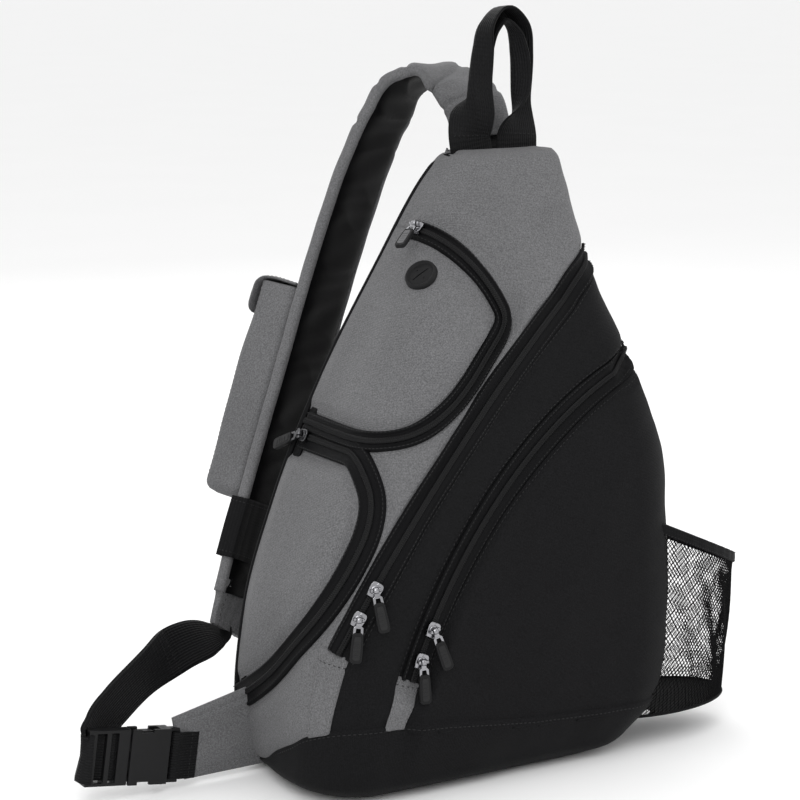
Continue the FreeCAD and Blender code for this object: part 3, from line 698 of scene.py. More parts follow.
boot_flat = on_bag(BOOT_SEAM, 3.0)
boot_share = boot_flat[:, 0] / length_at(boot_flat[:, 1])


def boot_z(s, z):
    """Height of the boot's seam above or below a point of the surface."""
    return np.interp(np.asarray(s) / length_at(z), boot_share, boot_flat[:, 1])


def inside(u, z, polygon):
    """Which points lie inside a closed outline of the front drawing."""
    hit = np.zeros(np.shape(u), bool)
    pts = np.asarray(polygon, float)
    for (x0, y0), (x1, y1) in zip(pts, np.roll(pts, -1, 0)):
        cross = (y0 > z) != (y1 > z)
        hit ^= cross & (u < (x1 - x0) * (z - y0) / (y1 - y0 + 1e-9) + x0)
    return hit


MAIN_TOP, POCKET_TOP = 401.5, pocket_flat[-1, 1]
main_edge = np.concatenate([[[s_of(-105, 30)[0], 0.0], [s_of(-105, 55)[0], 55.0]], main_flat])
pocket_edge = np.concatenate([[[s_of(-50, 30)[0], 0.0], [s_of(-50, 30)[0], 30.0]], pocket_flat])
POCKET_BACK = -25.0
UPPER_DOOR = np.concatenate([[(-9, upper_flat[0, 1])], upper_flat, [(-9, upper_flat[-1, 1])]])
LOWER_DOOR = np.concatenate([[(-9, lower_flat[0, 1])], lower_flat, [(-9, lower_flat[-1, 1])]])


def side_run(z):
    """Where the front pocket's back edge crosses the right side."""
    return length_at(z) - (BACK - POCKET_BACK)


def region_of(s, z):
    """0 grey panel, 1 middle panel, 2 front pocket, 3 upper door, 4 lower door."""
    kind = np.zeros(np.shape(s), int)
    black = (s > np.interp(z, main_edge[:, 1], main_edge[:, 0])) & (z < MAIN_TOP)
    kind[black] = 1
    pocket = (s > np.interp(z, pocket_edge[:, 1], pocket_edge[:, 0])) & (z < POCKET_TOP) & (s < side_run(z))
    kind[pocket] = 2
    visible = s < length_at(z) * 0.62
    kind[inside(s, z, UPPER_DOOR) & visible & ~black] = 3
    kind[inside(s, z, LOWER_DOOR) & visible & ~black] = 4
    return kind


pocket_rim = np.concatenate([pocket_edge, [[side_run(POCKET_TOP), POCKET_TOP]],
                             [[side_run(z), z] for z in (250, 200, 150, 100, 50, 0)]])


def height(s, z):
    """How far the finished fabric stands off the plain surface."""
    s, z = np.asarray(s, float), np.asarray(z, float)
    kind = region_of(s, z)
    edge = np.minimum(step_up(s / 18), step_up((length_at(z) - s) / 18))
    h = 1.1 * crumple(s, z, 150, 1) + 0.5 * crumple(s, z, 55, 2)
    h = h * edge + 0.6
    d_upper, d_lower = distance(s, z, upper_flat), distance(s, z, lower_flat)
    door = np.where(kind == 3, 4.0 * step_up((d_upper - 5) / 40) + 0.8, 0)
    door = door + np.where(kind == 4, 5.0 * step_up((d_lower - 7) / 32) + 0.8, 0)
    h = h + door * step_up(s / 25)
    d_rim = distance(s, z, pocket_rim)
    h = h + np.where(kind == 2, 6.0 * step_up(d_rim / 16) + 1.5 * step_up(d_rim / 90), 0)
    seam = np.abs(z - boot_z(s, z))
    h = h - 1.6 * np.exp(-(seam / 6.0) ** 2)
    for path in ZIPS.values():
        d = distance(s, z, path.flat)
        share = 1 - step_up((d - path.half - 1) / 9)
        gap = (s[..., None] - path.flat[::3, 0]) ** 2 + (z[..., None] - path.flat[::3, 1]) ** 2
        near = np.argmin(gap, -1)
        h = h * (1 - share) + share * (path.off[::3][near] - 2.6)
    round_top = np.clip(z - (HEIGHT - 9), 0, 9)
    return h - (9 - np.sqrt(81 - round_top ** 2)) * 0.6


def on_skin(s, z, lift=0.0):
    return skin(s, z, height(s, z) + lift)


# ------------------------------------------------------------------ the fabric shell
N_COLS = 208
shell_z = np.r_[np.arange(4, HEIGHT - 1, 2.5), HEIGHT - 0.5]
share = np.linspace(0, 1, N_COLS)
grid_z = np.repeat(shell_z[:, None], N_COLS, 1)
grid_s = share[None] * (length_at(grid_z) - BACK_GAP)
shell = on_skin(grid_s, grid_z)
shell_uv = np.stack([grid_s, grid_z], -1) * MM
face_s = (grid_s[:-1, :-1] + grid_s[1:, 1:]) / 2
face_z = (grid_z[:-1, :-1] + grid_z[1:, 1:]) / 2
face_kind = region_of(face_s, face_z)
face_kind[face_z < boot_z(face_s, face_z) - 7] = -1


def top_rows():
    """The narrow top between the front edge and the back panel."""
    ring = shell[-1]
    back = np.stack([np.linspace(ring[0, 0], ring[-1, 0], N_COLS), np.full(N_COLS, BACK - 4), ring[:, 2]], 1)
    rows = []
    for f in np.linspace(0, 1, 14)[1:]:
        line = ring * (1 - f) + back * f
        line[:, 2] += (HEIGHT - 1 - ring[:, 2]) * step_up(f * 1.6) + 1.2 * math.sin(math.pi * f)
        rows.append(line)
    return np.array(rows)


cap = top_rows()
shell = np.concatenate([shell, cap])
shell_uv = np.concatenate([shell_uv, cap[..., :2] * MM])
face_kind = np.concatenate([face_kind, np.zeros((len(cap), N_COLS - 1), int)])


def shell_piece(name, kind, material):
    """The faces of one panel, with real fabric thickness."""
    index, points, uvs, faces = {}, [], [], []
    for i, j in zip(*np.nonzero(face_kind == kind)):
        face = []
        for a, b in ((i, j), (i, j + 1), (i + 1, j + 1), (i + 1, j)):
            if (a, b) not in index:
                index[(a, b)] = len(points)
                points.append(shell[a, b])
                uvs.append(shell_uv[a, b])
            face.append(index[(a, b)])
        faces.append(face)
    obj = put(name, points, faces, material, np.array(uvs))
    thicken(obj, 1.4)
    return obj


finish_piece(shell_piece("grey_shell", 0, GREY), "bag", ["main_panel"])
finish_piece(shell_piece("middle_shell", 1, BLACK), "bag", ["middle_panel"])
finish_piece(shell_piece("pocket_shell", 2, BLACK), "bag", ["front_pocket"])
finish_piece(shell_piece("upper_door_shell", 3, GREY), "bag", ["upper_pocket_panel"])
finish_piece(shell_piece("lower_door_shell", 4, GREY), "bag", ["lower_pocket_panel"])


def boot():
    """The black bottom: its wall, rounded lower edge and floor."""
    cols = 200
    f = np.linspace(0, 1, cols)
    seam = np.interp(f, boot_share, boot_flat[:, 1])
    top = height(f * (length_at(seam) - BACK_GAP), seam)

    def lift_at(t):
        fade = step_up(t / 0.8)
        return (top - 0.9 + 2.4 * step_up(t / 0.04)) * (1 - fade) + 2.5 * fade

    rows = []
    for t in np.r_[0, 0.012, 0.03, np.linspace(0.07, 1, 22)]:
        z = seam * (1 - t) + 1.0 * t
        s = f * (length_at(z) - BACK_GAP)
        lift = lift_at(t)
        lean = 1.2 * crumple(s, z, 90, 3) * step_up(t * 4) * step_up((1 - t) * 4)
        low = np.clip(10 - z, 0, 10)
        tuck = (10 - np.sqrt(np.maximum(100 - low ** 2, 0))) * 0.5
        rows.append(skin(s, z, lift + lean - tuck))
    ring = rows[-1]
    back = ring.copy()
    back[:, 1] = BACK - 2
    back[:, 0] = np.linspace(ring[0, 0], ring[-1, 0], cols)
    for t in np.linspace(0.06, 1, 12):
        line = ring * (1 - t) + back * t
        line[:, 2] = ring[:, 2] * (1 - t) ** 6 + 0.4
        rows.append(line)
    grid = np.array(rows)
    run = np.cumsum(np.r_[0, np.linalg.norm(np.diff(grid[:, cols // 2], axis=0), axis=1)])
    uv = pair_grid(f[None] * 0.45, run[:, None] * MM)
    wall = sheet_of("boot_wall", grid, BLACK, uv, thick=1.6, flip=True)
    thread_z = seam - 4.2
    s = f * (length_at(thread_z) - BACK_GAP)
    line = skin(s, thread_z, lift_at(4.2 / seam) + 0.1)
    thread = stitches("boot_thread", line, normal_at(s, thread_z), THREAD_BLACK, 4.0, 2.7, 0.7)
    return join("boot_shell", [wall, thread])


finish_piece(boot(), "bag", ["bottom_boot"])

# ------------------------------------------------------------------ zips


def beside(path, offset):
    """A line on the fabric beside a zip: its points and the fabric's normals."""
    side = frames_along(path.points, path.normals)[2]
    flat = locate(path.points + side * offset)[0]
    keep_row = (flat[:, 0] > 6) & (flat[:, 1] > 4)
    flat = flat[keep_row]
    return on_skin(flat[:, 0], flat[:, 1]), normal_at(flat[:, 0], flat[:, 1])


def zip_tape(name, path):
    """The tape: flat by the coil, with the fabric's folded and stitched edge on each side."""
    half = path.half
    side = [(-half - 0.5, -2.4), (-half - 0.2, -0.6), (-half + 0.4, 0.5), (-half + 1.2, 0.9),
            (-half + 2.2, 0.75), (-half + 2.7, 0.05), (-5.2 if half > 8 else -4.2, -0.1),
            (-3.0, -0.1), (-1.2, -0.3)]
    profile = side + [(-x, h) for x, h in side[::-1]]
    body = profile_band(name + "_tape", path.points, path.normals, profile, TAPE,
                        wave=lambda i, x: 0.18 * np.sin(i * 0.31 + x) * (np.abs(x) > half - 3))
    p = points_of(body)
    across, rise = np.tile(np.array(profile), (len(path.points), 1)).T
    outer = np.abs(across) > 4.6
    flat = locate(p[outer])[0]
    near = skin(flat[:, 0], flat[:, 1], height(flat[:, 0], flat[:, 1]) + rise[outer] + 2.7)
    w = step_up((np.abs(across[outer]) - 4.6) / 2.5)[:, None]
    p[outer] = p[outer] * (1 - w) + near * w
    set_points(body, p)
    n = frames_along(path.points, path.normals)[1]
    lines = p.reshape(len(path.points), -1, 3)
    rows = [stitches(name + "_row", lines[:, k], n, THREAD_BLACK, 3.4, 2.3, 0.55, 0.2) for k in (3, -4)]
    thicken(body, 0.8)
    return join(name + "_tape", [body] + rows)


def zip_coil(name, path):
    """Two rows of nylon coil turns that mesh down the middle."""
    pitch, step = 1.7, 0.34
    rows = resample_by(np.concatenate([path.points, path.normals], 1), step)
    profile = [(-2.5, -0.3), (-2.4, 0.7), (-2.0, 1.25), (-1.3, 1.5), (-0.4, 1.55), (0.0, 1.2),
               (0.4, 1.55), (1.3, 1.5), (2.0, 1.25), (2.4, 0.7), (2.5, -0.3)]

    def turns(i, x):
        lean = np.where(x < 0, 0.0, math.pi)
        return (0.34 * np.cos(i * step / pitch * 2 * math.pi + lean) + 0.1) * (np.abs(x) < 2.45)
    return profile_band(name + "_coil", rows[:, :3], rows[:, 3:], profile, COIL, wave=turns)


for name, path in ZIPS.items():
    finish_piece(zip_tape(name, path), "bag", [name + "_zip_tape"])
    finish_piece(zip_coil(name, path), "bag", [name + "_zip_coil"])

seams = []
for name, sign, thread in (("main", -1, THREAD_GREY), ("main", 1, THREAD_BLACK), ("pocket", -1, THREAD_BLACK),
                           ("pocket", 1, THREAD_BLACK), ("upper", -1, THREAD_GREY), ("upper", 1, THREAD_GREY),
                           ("lower", -1, THREAD_GREY), ("lower", 1, THREAD_GREY)):
    points, normals = beside(ZIPS[name], sign * (ZIPS[name].half + 2.6))
    seams.append(stitches("seam_row", points, normals, thread, 4.0, 2.6, 0.6, 0.15))
topstitch = join("panel_topstitch", seams)
finish_piece(topstitch, "bag")


def prism(name, outline, low, high, material, bevel=0.4, segments=2):
    """A block with rounded edges from an outline in x and y."""
    bm = bmesh.new()
    lower = [bm.verts.new((x, y, low)) for x, y in outline]
    upper = [bm.verts.new((x, y, high)) for x, y in outline]
    bm.faces.new(lower[::-1])
    bm.faces.new(upper)
    count = len(outline)
    for k in range(count):
        bm.faces.new((lower[k], lower[(k + 1) % count], upper[(k + 1) % count], upper[k]))
    bmesh.ops.recalc_face_normals(bm, faces=bm.faces)
    if bevel:
        bmesh.ops.bevel(bm, geom=bm.edges[:], offset=bevel, segments=segments, affect="EDGES", profile=0.6)
    bmesh.ops.scale(bm, vec=(0.001,) * 3, verts=bm.verts)
    mesh = bpy.data.meshes.new(name)
    bm.to_mesh(mesh)
    bm.free()
    mesh.polygons.foreach_set("use_smooth", [False] * len(mesh.polygons))
    mesh.materials.append(material)
    obj = bpy.data.objects.new(name, mesh)
    scene.collection.objects.link(obj)
    return obj


def lathe(name, profile, material, sides=24, axis="Z"):
    """A turned part from (radius, height) pairs."""
    turn = np.linspace(0, 2 * math.pi, sides, endpoint=False)
    prof = np.asarray(profile, float)
    grid = np.stack([prof[:, :1] * np.cos(turn), prof[:, :1] * np.sin(turn),
                     np.repeat(prof[:, 1:], sides, 1)], -1)
    if axis == "X":
        grid = grid[..., [2, 0, 1]]
    return sheet_of(name, grid, material, wrap=True)


def rectangle(x0, x1, y0, y1):
    return [(x0, y0), (x1, y0), (x1, y1), (x0, y1)]


def place(obj, matrix):
    obj.matrix_world = matrix @ obj.matrix_world
    return obj


def frame_matrix(point, x, y, z):
    m = Matrix((Vector(x), Vector(y), Vector(z))).transposed().to_4x4()
    m.translation = Vector(point) * MM
    return m


PIN_HEIGHT = 7.45
# zip, stop on its track, turn of the pull, its lean off the fabric, metal, and the record's slot
SLIDERS = {
    "main_slider_a": ("main", 0.0, 42, 0, CHROME, "chrome"),
    "main_slider_b": ("main", -2.9, 24, 0, CHROME, "chrome"),
    "pocket_slider_a": ("pocket", 0.0, 44, 0, CHROME, "chrome"),
    "pocket_slider_b": ("pocket", -4.4, 24, 0, CHROME, "chrome"),
    "upper_slider": ("upper", 0.0, 110, 14, CHROME, "chrome"),
    "lower_slider": ("lower", 0.0, 28, 0, DARK_METAL, "dark_metal"),
}


def slider_body(name, metal, turned):
    """The slider: waisted top plate, rolled flanges, a dome and the ears that carry the pin."""
    half_plate = [(3.5, -6.0), (4.3, -4.2), (4.9, -0.5), (5.0, 2.6), (4.5, 4.8), (3.2, 5.8), (1.2, 6.0)]
    outline = half_plate + [(-x, y) for x, y in half_plate[::-1]]
    parts = [prism(name + "_plate", outline, 3.0, 4.6, metal, 0.55, 3)]
    flange = [(3.1, -5.8), (3.9, -5.9), (4.8, -0.5), (4.9, 2.6), (4.4, 4.6), (3.6, 5.2), (3.1, 4.6)]
    parts.append(prism(name + "_flange_r", flange, 0.5, 3.4, metal, 0.3))
    parts.append(prism(name + "_flange_l", [(-x, y) for x, y in flange[::-1]], 0.5, 3.4, metal, 0.3))
    parts.append(prism(name + "_wedge", [(-1.4, 3.6), (1.4, 3.6), (0.5, 5.9), (-0.5, 5.9)], 2.9, 5.0, metal,
                       0.4))
    dome = [(3.4, 4.4), (3.3, 4.9), (2.7, 5.25), (1.6, 5.45), (0.02, 5.5)]
    parts.append(lathe(name + "_dome", dome[:2] + [(2.2, 4.75), (0.02, 4.72)], metal))
    ear = [(-1.9, 4.3), (1.9, 4.3), (1.75, 6.4), (1.3, 8.1), (0.7, 8.8), (-0.7, 8.8), (-1.3, 8.1),
           (-1.75, 6.4)]
    for sign in (-1, 1):
        piece = prism(name + "_ear", ear, -0.62, 0.62, metal, 0.28)
        stand = Matrix(((0, 0, 1, sign * 0.0028), (1, 0, 0, 0), (0, 1, 0, 0), (0, 0, 0, 1)))
        parts.append(place(piece, turned @ stand))
    half_pin = [(0.02, -4.1), (1.2, -4.1), (1.55, -3.8), (1.55, -3.5), (1.15, -3.4)]
    pin = lathe(name + "_pin", half_pin + [(x, -y) for x, y in half_pin[::-1]], metal, 20, "X")
    parts.append(place(pin, turned @ Matrix.Translation((0, 0, PIN_HEIGHT * MM))))
    return parts


def pull_body(name, metal, inset):
    """The pull: a metal eye and stirrup, and a rubber tongue with a raised rim."""
    ring = [(1.3, -1.7), (2.3, -1.75), (2.6, -1.4), (2.6, 1.4), (2.3, 1.75), (1.3, 1.7), (1.3, -1.7)]
    eye = lathe(name + "_eye", ring, metal, 24, "X")
    parts = [eye]
    bars = [
        [(-1.6, -2.0), (1.6, -2.0), (2.3, -5.2), (-2.3, -5.2)],
        [(-3.7, -5.6), (-2.2, -4.2), (-1.6, -6.0), (-2.4, -12.2), (-3.9, -12.2)],
        [(3.7, -5.6), (3.9, -12.2), (2.4, -12.2), (1.6, -6.0), (2.2, -4.2)],
        [(-2.4, -6.1), (-2.2, -4.4), (2.2, -4.4), (2.4, -6.1)],
    ]
    for k, bar in enumerate(bars):
        parts.append(prism(name + "_bar%d" % k, bar, -0.75, 0.75, metal, 0.3))
    half_tongue = [(2.8, -9.4), (3.9, -10.4), (4.3, -14.0), (4.6, -24.0), (4.5, -30.0), (3.6, -31.8),
                   (2.0, -32.4)]
    outline = [(-x, y) for x, y in half_tongue] + half_tongue[::-1]
    parts.append(prism(name + "_tongue", outline, -1.7, 1.7, RUBBER, 0.7, 3))
    inner = [(x * 0.62, (y + 21) * 0.78 - 21.2) for x, y in outline]
    for low, high in ((1.5, 2.05), (-2.05, -1.5)):
        parts.append(prism(name + "_inset", inner, low, high, inset, 0.22))
    for k in range(4):
        y = -17.0 - 3.2 * k
        parts.append(prism(name + "_rib%d" % k, rectangle(-2.0, 2.0, y - 0.55, y + 0.55), 1.8, 2.4, inset,
                           0.25))
    return parts


for label, (zip_name, stop, hang, lean, metal, slot_name) in SLIDERS.items():
    point, side, along, normal = TRACKS[zip_name][0].at(stop)
    x = along.cross(normal)
    here = frame_matrix(point, x, along, normal)
    turned = Matrix.Rotation(math.radians(hang), 4, "Z")
    slider = join(label + "_metal", [place(o, here) for o in slider_body(label, metal, turned)])
    finish_piece(slider, label, [label])
    leaned = Matrix.Rotation(math.radians(-lean), 4, "X")
    pivot = here @ turned @ Matrix.Translation((0, 0, PIN_HEIGHT * MM)) @ leaned
    pull_name = label.replace("slider", "pull")
    # The lower pulls' inset and ribs carry the painted highlight; the upper pull's grey inset is its own
    # colour.
    inset = RUBBER_GREY if label == "upper_slider" else RUBBER_PAINTED_HIGHLIGHT
    pull = join(pull_name + "_tag", [place(o, pivot) for o in pull_body(pull_name, metal, inset)])
    finish_piece(pull, pull_name, [pull_name])


def zip_tab(name, corners, node_name):
    """A folded fabric tab over the lower end of a zip, hemmed along its top."""
    flat = np.stack([s_of(*np.array(corners, float).T), np.array(corners, float)[:, 1]], 1)
    low_left, top_left, top_right, low_right = flat
    rows = []
    for b in np.linspace(0, 1, 34):
        left, right = low_left + (top_left - low_left) * b, low_right + (top_right - low_right) * b
        a = np.linspace(0, 1, 20)[:, None]
        line = left + (right - left) * a
        rim = step_up(np.minimum(np.minimum(a[:, 0], 1 - a[:, 0]) / 0.12, (1 - b) / 0.04))
        groove = 0.5 * math.exp(-((1 - b) / 0.03 - 5.2) ** 2 / 2)
        lift = 0.4 + 1.4 * rim - groove + 0.25 * np.sin(a[:, 0] * 9 + b * 5)
        rows.append(np.concatenate([line, lift[:, None]], 1))
    rows = np.array(rows)
    near = height(rows[..., 0], rows[..., 1])
    bridge = near[:, :1] + (near[:, -1:] - near[:, :1]) * np.linspace(0, 1, 20)
    near = np.maximum(near, bridge)
    reach = np.clip(np.arange(34)[:, None] + np.arange(-4, 5)[None], 0, 33)
    floor_h = np.maximum(near[reach].mean(1), near - 0.4)
    grid = skin(rows[..., 0], rows[..., 1], floor_h + rows[..., 2])
    body = sheet_of(name, grid, GREY, rows[..., :2] * MM, thick=1.2, flip=False)
    b = 0.86
    k = int(b * 33)
    hem = stitches(name + "_hem", grid[k, 1:-1], normal_at(rows[k, 1:-1, 0], rows[k, 1:-1, 1]),
                   THREAD_BLACK, 3.4, 2.3, 0.6)
    side_rows = []
    for j in (2, 17):
        side_rows.append(stitches(name + "_side", grid[2:-3, j],
                                  normal_at(rows[2:-3, j, 0], rows[2:-3, j, 1]),
                                  THREAD_GREY, 3.4, 2.3, 0.6))
    return finish_piece(join(name, [body, hem] + side_rows), "bag", [node_name])


zip_tab("main_tab_cloth", [(-119, 55), (-108, 129), (-86, 122), (-102, 61)], "main_zip_tab")
zip_tab("pocket_tab_cloth", [(-61, 62), (-49, 103), (-32, 95), (-46, 61)], "pocket_zip_tab")


def earphone_port():
    """A rubber grommet with a rounded rim, one straight slit and a dimple on each side of it."""
    radii = np.r_[np.linspace(0.05, 9.8, 44), 10.2, 10.8, 11.5, 12.3, 12.9, 13.2]
    turn = np.linspace(0, 2 * math.pi, 120, endpoint=False)
    r, a = np.meshgrid(radii, turn, indexing="ij")
    x, y = r * np.cos(a), r * np.sin(a)
    tilt = math.radians(52)
    along, across = x * math.cos(tilt) + y * math.sin(tilt), -x * math.sin(tilt) + y * math.cos(tilt)
    slit = np.where(np.abs(along) < 7.4, np.abs(across), 9)
    dimple = np.minimum(np.hypot(along, across - 5.2), np.hypot(along, across + 5.2))
    z = 2.0 + 0.5 * (1 - (r / 10) ** 2)
    z = np.where(r > 9.9, 2.2 + 1.5 * np.sin(np.clip((r - 9.9) / 3.3, 0, 1) * math.pi), z)
    z = z - 1.7 * np.exp(-(slit / 0.5) ** 4) - 0.9 * np.exp(-(dimple / 0.8) ** 4)
    z[-1] = -0.6
    grid = np.stack([x, y, z], -1)
    obj = sheet_of("port_grommet", grid, RUBBER, wrap=True)
    s0, z0 = s_of(-31.4, 392)[0], 392
    near = on_skin(np.array([s0, s0 + 9, s0 - 9, s0, s0]), np.array([z0, z0, z0, z0 + 9, z0 - 9]), 0.2)
    facing = Vector(np.cross(near[1] - near[2], near[3] - near[4])).normalized()
    facing *= math.copysign(1, facing.dot(Vector((-0.75, -0.61, 0.26))))
    flat_x = Vector((0, 0, 1)).cross(facing).normalized()
    place(obj, frame_matrix(tuple(near.mean(0)), flat_x, facing.cross(flat_x), facing))
    return finish_piece(join("port_grommet", [obj]), "bag", ["earphone_port"])


earphone_port()

# ------------------------------------------------------------------ back panel and back pad


def back_outline(inset=0.0, z0=0.0, z1=HEIGHT):
    """Left and right edges of the bag's back, drawn in by inset."""
    z = np.linspace(z0, z1, 120)
    left = np.interp(z, ROWS, EDGES[:, 0]) + inset
    right_edge = np.interp(z, ROWS, EDGES[:, 1]) - inset
    return z, left, right_edge


def back_panel():
    z, left, right_edge = back_outline(3.0, 1.5, HEIGHT - 5)
    a = np.linspace(0, 1, 70)
    rim = [(0.0, 58.0), (0.0, 62.0), (0.0, 66.0), (0.002, 69.0), (0.008, 70.6)]
    share_x = np.r_[[x for x, _ in rim], 0.02 + 0.96 * a, [1 - x for x, _ in rim[::-1]]]
    y = np.r_[[v for _, v in rim], np.full(70, 71.4), [v for _, v in rim[::-1]]]
    rows = []
    for k in range(len(z)):
        x = left[k] + (right_edge[k] - left[k]) * share_x
        wave = 0.5 * crumple(x, np.full_like(x, z[k]), 80, 2) * (y > 71)
        rows.append(np.stack([x, y + wave, np.full_like(x, z[k])], 1))
    bottom, top = rows[0].copy(), rows[-1].copy()
    for row, shift in ((bottom, -1.0), (top, 1.5)):
        row[:, 1] = np.minimum(row[:, 1], 62)
        row[:, 2] += shift
    grid = np.array([bottom] + rows + [top])
    panel = sheet_of("back_cloth", grid, BLACK, grid[..., [0, 2]] * MM, thick=1.4)
    out = 2.6 - 5.0 * step_up((z - HEIGHT + 13) / 8)
    line = np.concatenate([np.stack([left - out, np.full_like(z, 71.0), z], 1),
                           np.stack([right_edge + out, np.full_like(z, 71.0), z], 1)[::-1]])
    smooth = resample_by(np.concatenate([line, line[:1]]), 3.0)
    piping = strand("back_piping", smooth[:-1], 2.3, BINDING, 10, closed=True)
    inner = resample_by(np.stack([np.r_[left + 6, right_edge[::-1] - 6], np.full(240, 71.9),
                                  np.r_[z, z[::-1]]], 1), 2.0)
    thread = stitches("back_thread", inner, np.tile((0, 1, 0), (len(inner), 1)), THREAD_BLACK, 4.0, 2.7, 0.6)
    return join("back_cover", [panel, piping, thread])


finish_piece(back_panel(), "bag", ["back_panel", "back_foam"])


def swell(obj, cap, voxel=0.005, pressure=4.0, frames=20):
    """Inflates a closed soft piece a little with a cloth simulation, then fixes the result."""
    bpy.context.view_layer.objects.active = obj
    for other in scene.objects:
        other.select_set(other == obj)
    remesh = obj.modifiers.new("remesh", "REMESH")
    remesh.mode, remesh.voxel_size = "VOXEL", voxel
    bpy.ops.object.modifier_apply(modifier="remesh")
    count = len(obj.data.vertices)
    rest = np.zeros(count * 3)
    obj.data.vertices.foreach_get("co", rest)
    cloth_mod = obj.modifiers.new("cloth", "CLOTH")
    cloth_mod.settings.use_pressure = True
    cloth_mod.settings.uniform_pressure_force = pressure
    cloth_mod.settings.effector_weights.gravity = 0.0
    for frame_no in range(1, frames + 1):
        scene.frame_set(frame_no)
    graph = bpy.context.evaluated_depsgraph_get()
    shape = np.zeros(count * 3)
    obj.evaluated_get(graph).data.vertices.foreach_get("co", shape)
    obj.modifiers.remove(cloth_mod)
    scene.frame_set(1)
    move = (shape - rest).reshape(-1, 3)
    size = np.linalg.norm(move, axis=1, keepdims=True)
    move *= np.minimum(1, cap * MM / np.maximum(size, 1e-9))
    obj.data.vertices.foreach_set("co", (rest.reshape(-1, 3) + move).ravel())
    obj.data.update()
    sub = obj.modifiers.new("smooth", "SUBSURF")
    sub.levels = sub.render_levels = 1
    bpy.ops.object.modifier_apply(modifier="smooth")
    obj.data.polygons.foreach_set("use_smooth", [True] * len(obj.data.polygons))


def back_pad():
    """Foam pad under spacer mesh, with sewn channels."""
    z, left, right_edge = back_outline(17.0, 34, 446)
    a = np.linspace(-1, 1, 60)
    rows = []
    low_round = np.sqrt(np.clip(1 - np.clip((60 - z) / 26, 0, 1) ** 2, 0.03, 1))
    high_round = np.sqrt(np.clip(1 - np.clip((z - 428) / 18, 0, 1) ** 2, 0.05, 1))
    for k in range(len(z)):
        mid, half = (left[k] + right_edge[k]) / 2, (right_edge[k] - left[k]) / 2
        half = half * min(1.0, 0.80 + 0.2 * low_round[k]) * min(1.0, 0.75 + 0.25 * high_round[k])
        x = mid + half * a
        crown = (1 - np.abs(a) ** 10) * min(1.0, low_round[k] * 1.3) * min(1.0, high_round[k] * 1.3)
        front = np.stack([x, 72.6 + 5.4 * crown, np.full(60, z[k])], 1)
        back = np.stack([x[::-1], np.full(60, 71.6), np.full(60, z[k])], 1)
        rows.append(np.concatenate([front, back]))
    grid = np.array(rows)
    n = grid.shape[1]
    faces = grid_faces(len(rows), n, wrap=True)
    faces += [tuple(range(n)), tuple((len(rows) - 1) * n + i for i in range(n))[::-1]]
    obj = put("back_cushion", grid.reshape(-1, 3), faces, MESH)
    swell(obj, 5.0)
    p = points_of(obj)
    proud = np.clip((p[:, 1] - 73) / 4, 0, 1)
    for level in (118, 190, 262, 334, 398):
        line = level + 14 * np.abs(p[:, 0] - 20) / 100
        p[:, 1] -= 4.2 * np.exp(-((p[:, 2] - line) / 4.6) ** 2) * proud
    p[:, 1] = np.maximum(p[:, 1], 71.2)
    set_points(obj, p)
    finish_piece(obj, "bag", ["back_pad"])
    z, left, right_edge = back_outline(14.5, 32, 448)
    loop = np.stack([np.r_[left, right_edge[::-1]], np.full(240, 72.6), np.r_[z, z[::-1]]], 1)
    loop = resample_by(np.concatenate([loop, loop[:1]]), 3.0)
    trim = strand("pad_binding", loop[:-1], 2.0, BINDING, 8, closed=True)
    finish_piece(trim, "bag")


back_pad()


def base_board():
    """The stiffener inside the bottom is the CAD node itself, in a stiff sheet plastic."""
    for slot in frame["nodes"]["base_board"].material_slots:
        slot.material = BOARD


base_board()

# ------------------------------------------------------------------ shoulder strap
STRAP = [
    ((73, 87, 489), (1, 0, 0), 52), ((72, 98, 516), (1, 0, 0), 56),
    ((65, 118, 533), (0.97, 0.24, 0), 64), ((52, 133, 540), (0.93, 0.36, 0), 68),
    ((36, 145, 530), (0.9, 0.43, 0), 68), ((18, 150, 503), (0.89, 0.45, 0), 68),
    ((2, 152, 470), (0.89, 0.45, 0), 68), ((-20, 150, 420), (0.89, 0.45, 0), 68),
    ((-44.5, 146.5, 358), (0.89, 0.45, 0), 68), ((-63.7, 143.5, 306), (0.89, 0.45, 0), 68),
    ((-84.8, 140, 250), (0.89, 0.45, 0), 68), ((-106.4, 134.5, 194), (0.89, 0.45, 0), 68),
    ((-121, 129.7, 158), (0.89, 0.45, 0), 66), ((-136, 124, 122), (0.89, 0.45, 0), 62),
]
POUCH_TOP, POUCH_END, KEEPER_MID = (-44.5, 146.5, 358), (-106.4, 134.5, 194), (-116.5, 131.2, 169)
TAIL = [((-132.5, 125.5, 130), (0.89, 0.45, 0), 62.5), ((-138, 123, 119), (0.88, 0.43, -0.08), 58),
        ((-144.5, 120.3, 109), (0.85, 0.36, -0.22), 48), ((-151, 117.5, 98), (0.8, 0.3, -0.4), 40)]
HANDLE = [
    ((46, 60, 480), (1, 0, 0), 34), ((44, 60, 492), (1, 0, 0), 38),
    ((48, 60, 514), (1, 0, 0), 35), ((54, 60, 540), (0.9, -0.43, 0), 24),
    ((57, 60, 560), (0.75, -0.66, 0), 20), ((62, 60, 580), (0.35, -0.94, 0), 20),
    ((75, 60, 591), (0.1, -1, 0), 20), ((88, 60, 580), (0.35, -0.94, 0), 20),
    ((93, 60, 560), (0.75, -0.66, 0), 20), ((94, 60, 540), (0.9, -0.43, 0), 24),
    ((92, 60, 514), (1, 0, 0), 35), ((89, 60, 492), (1, 0, 0), 38),
    ((89, 60, 480), (1, 0, 0), 38),
]
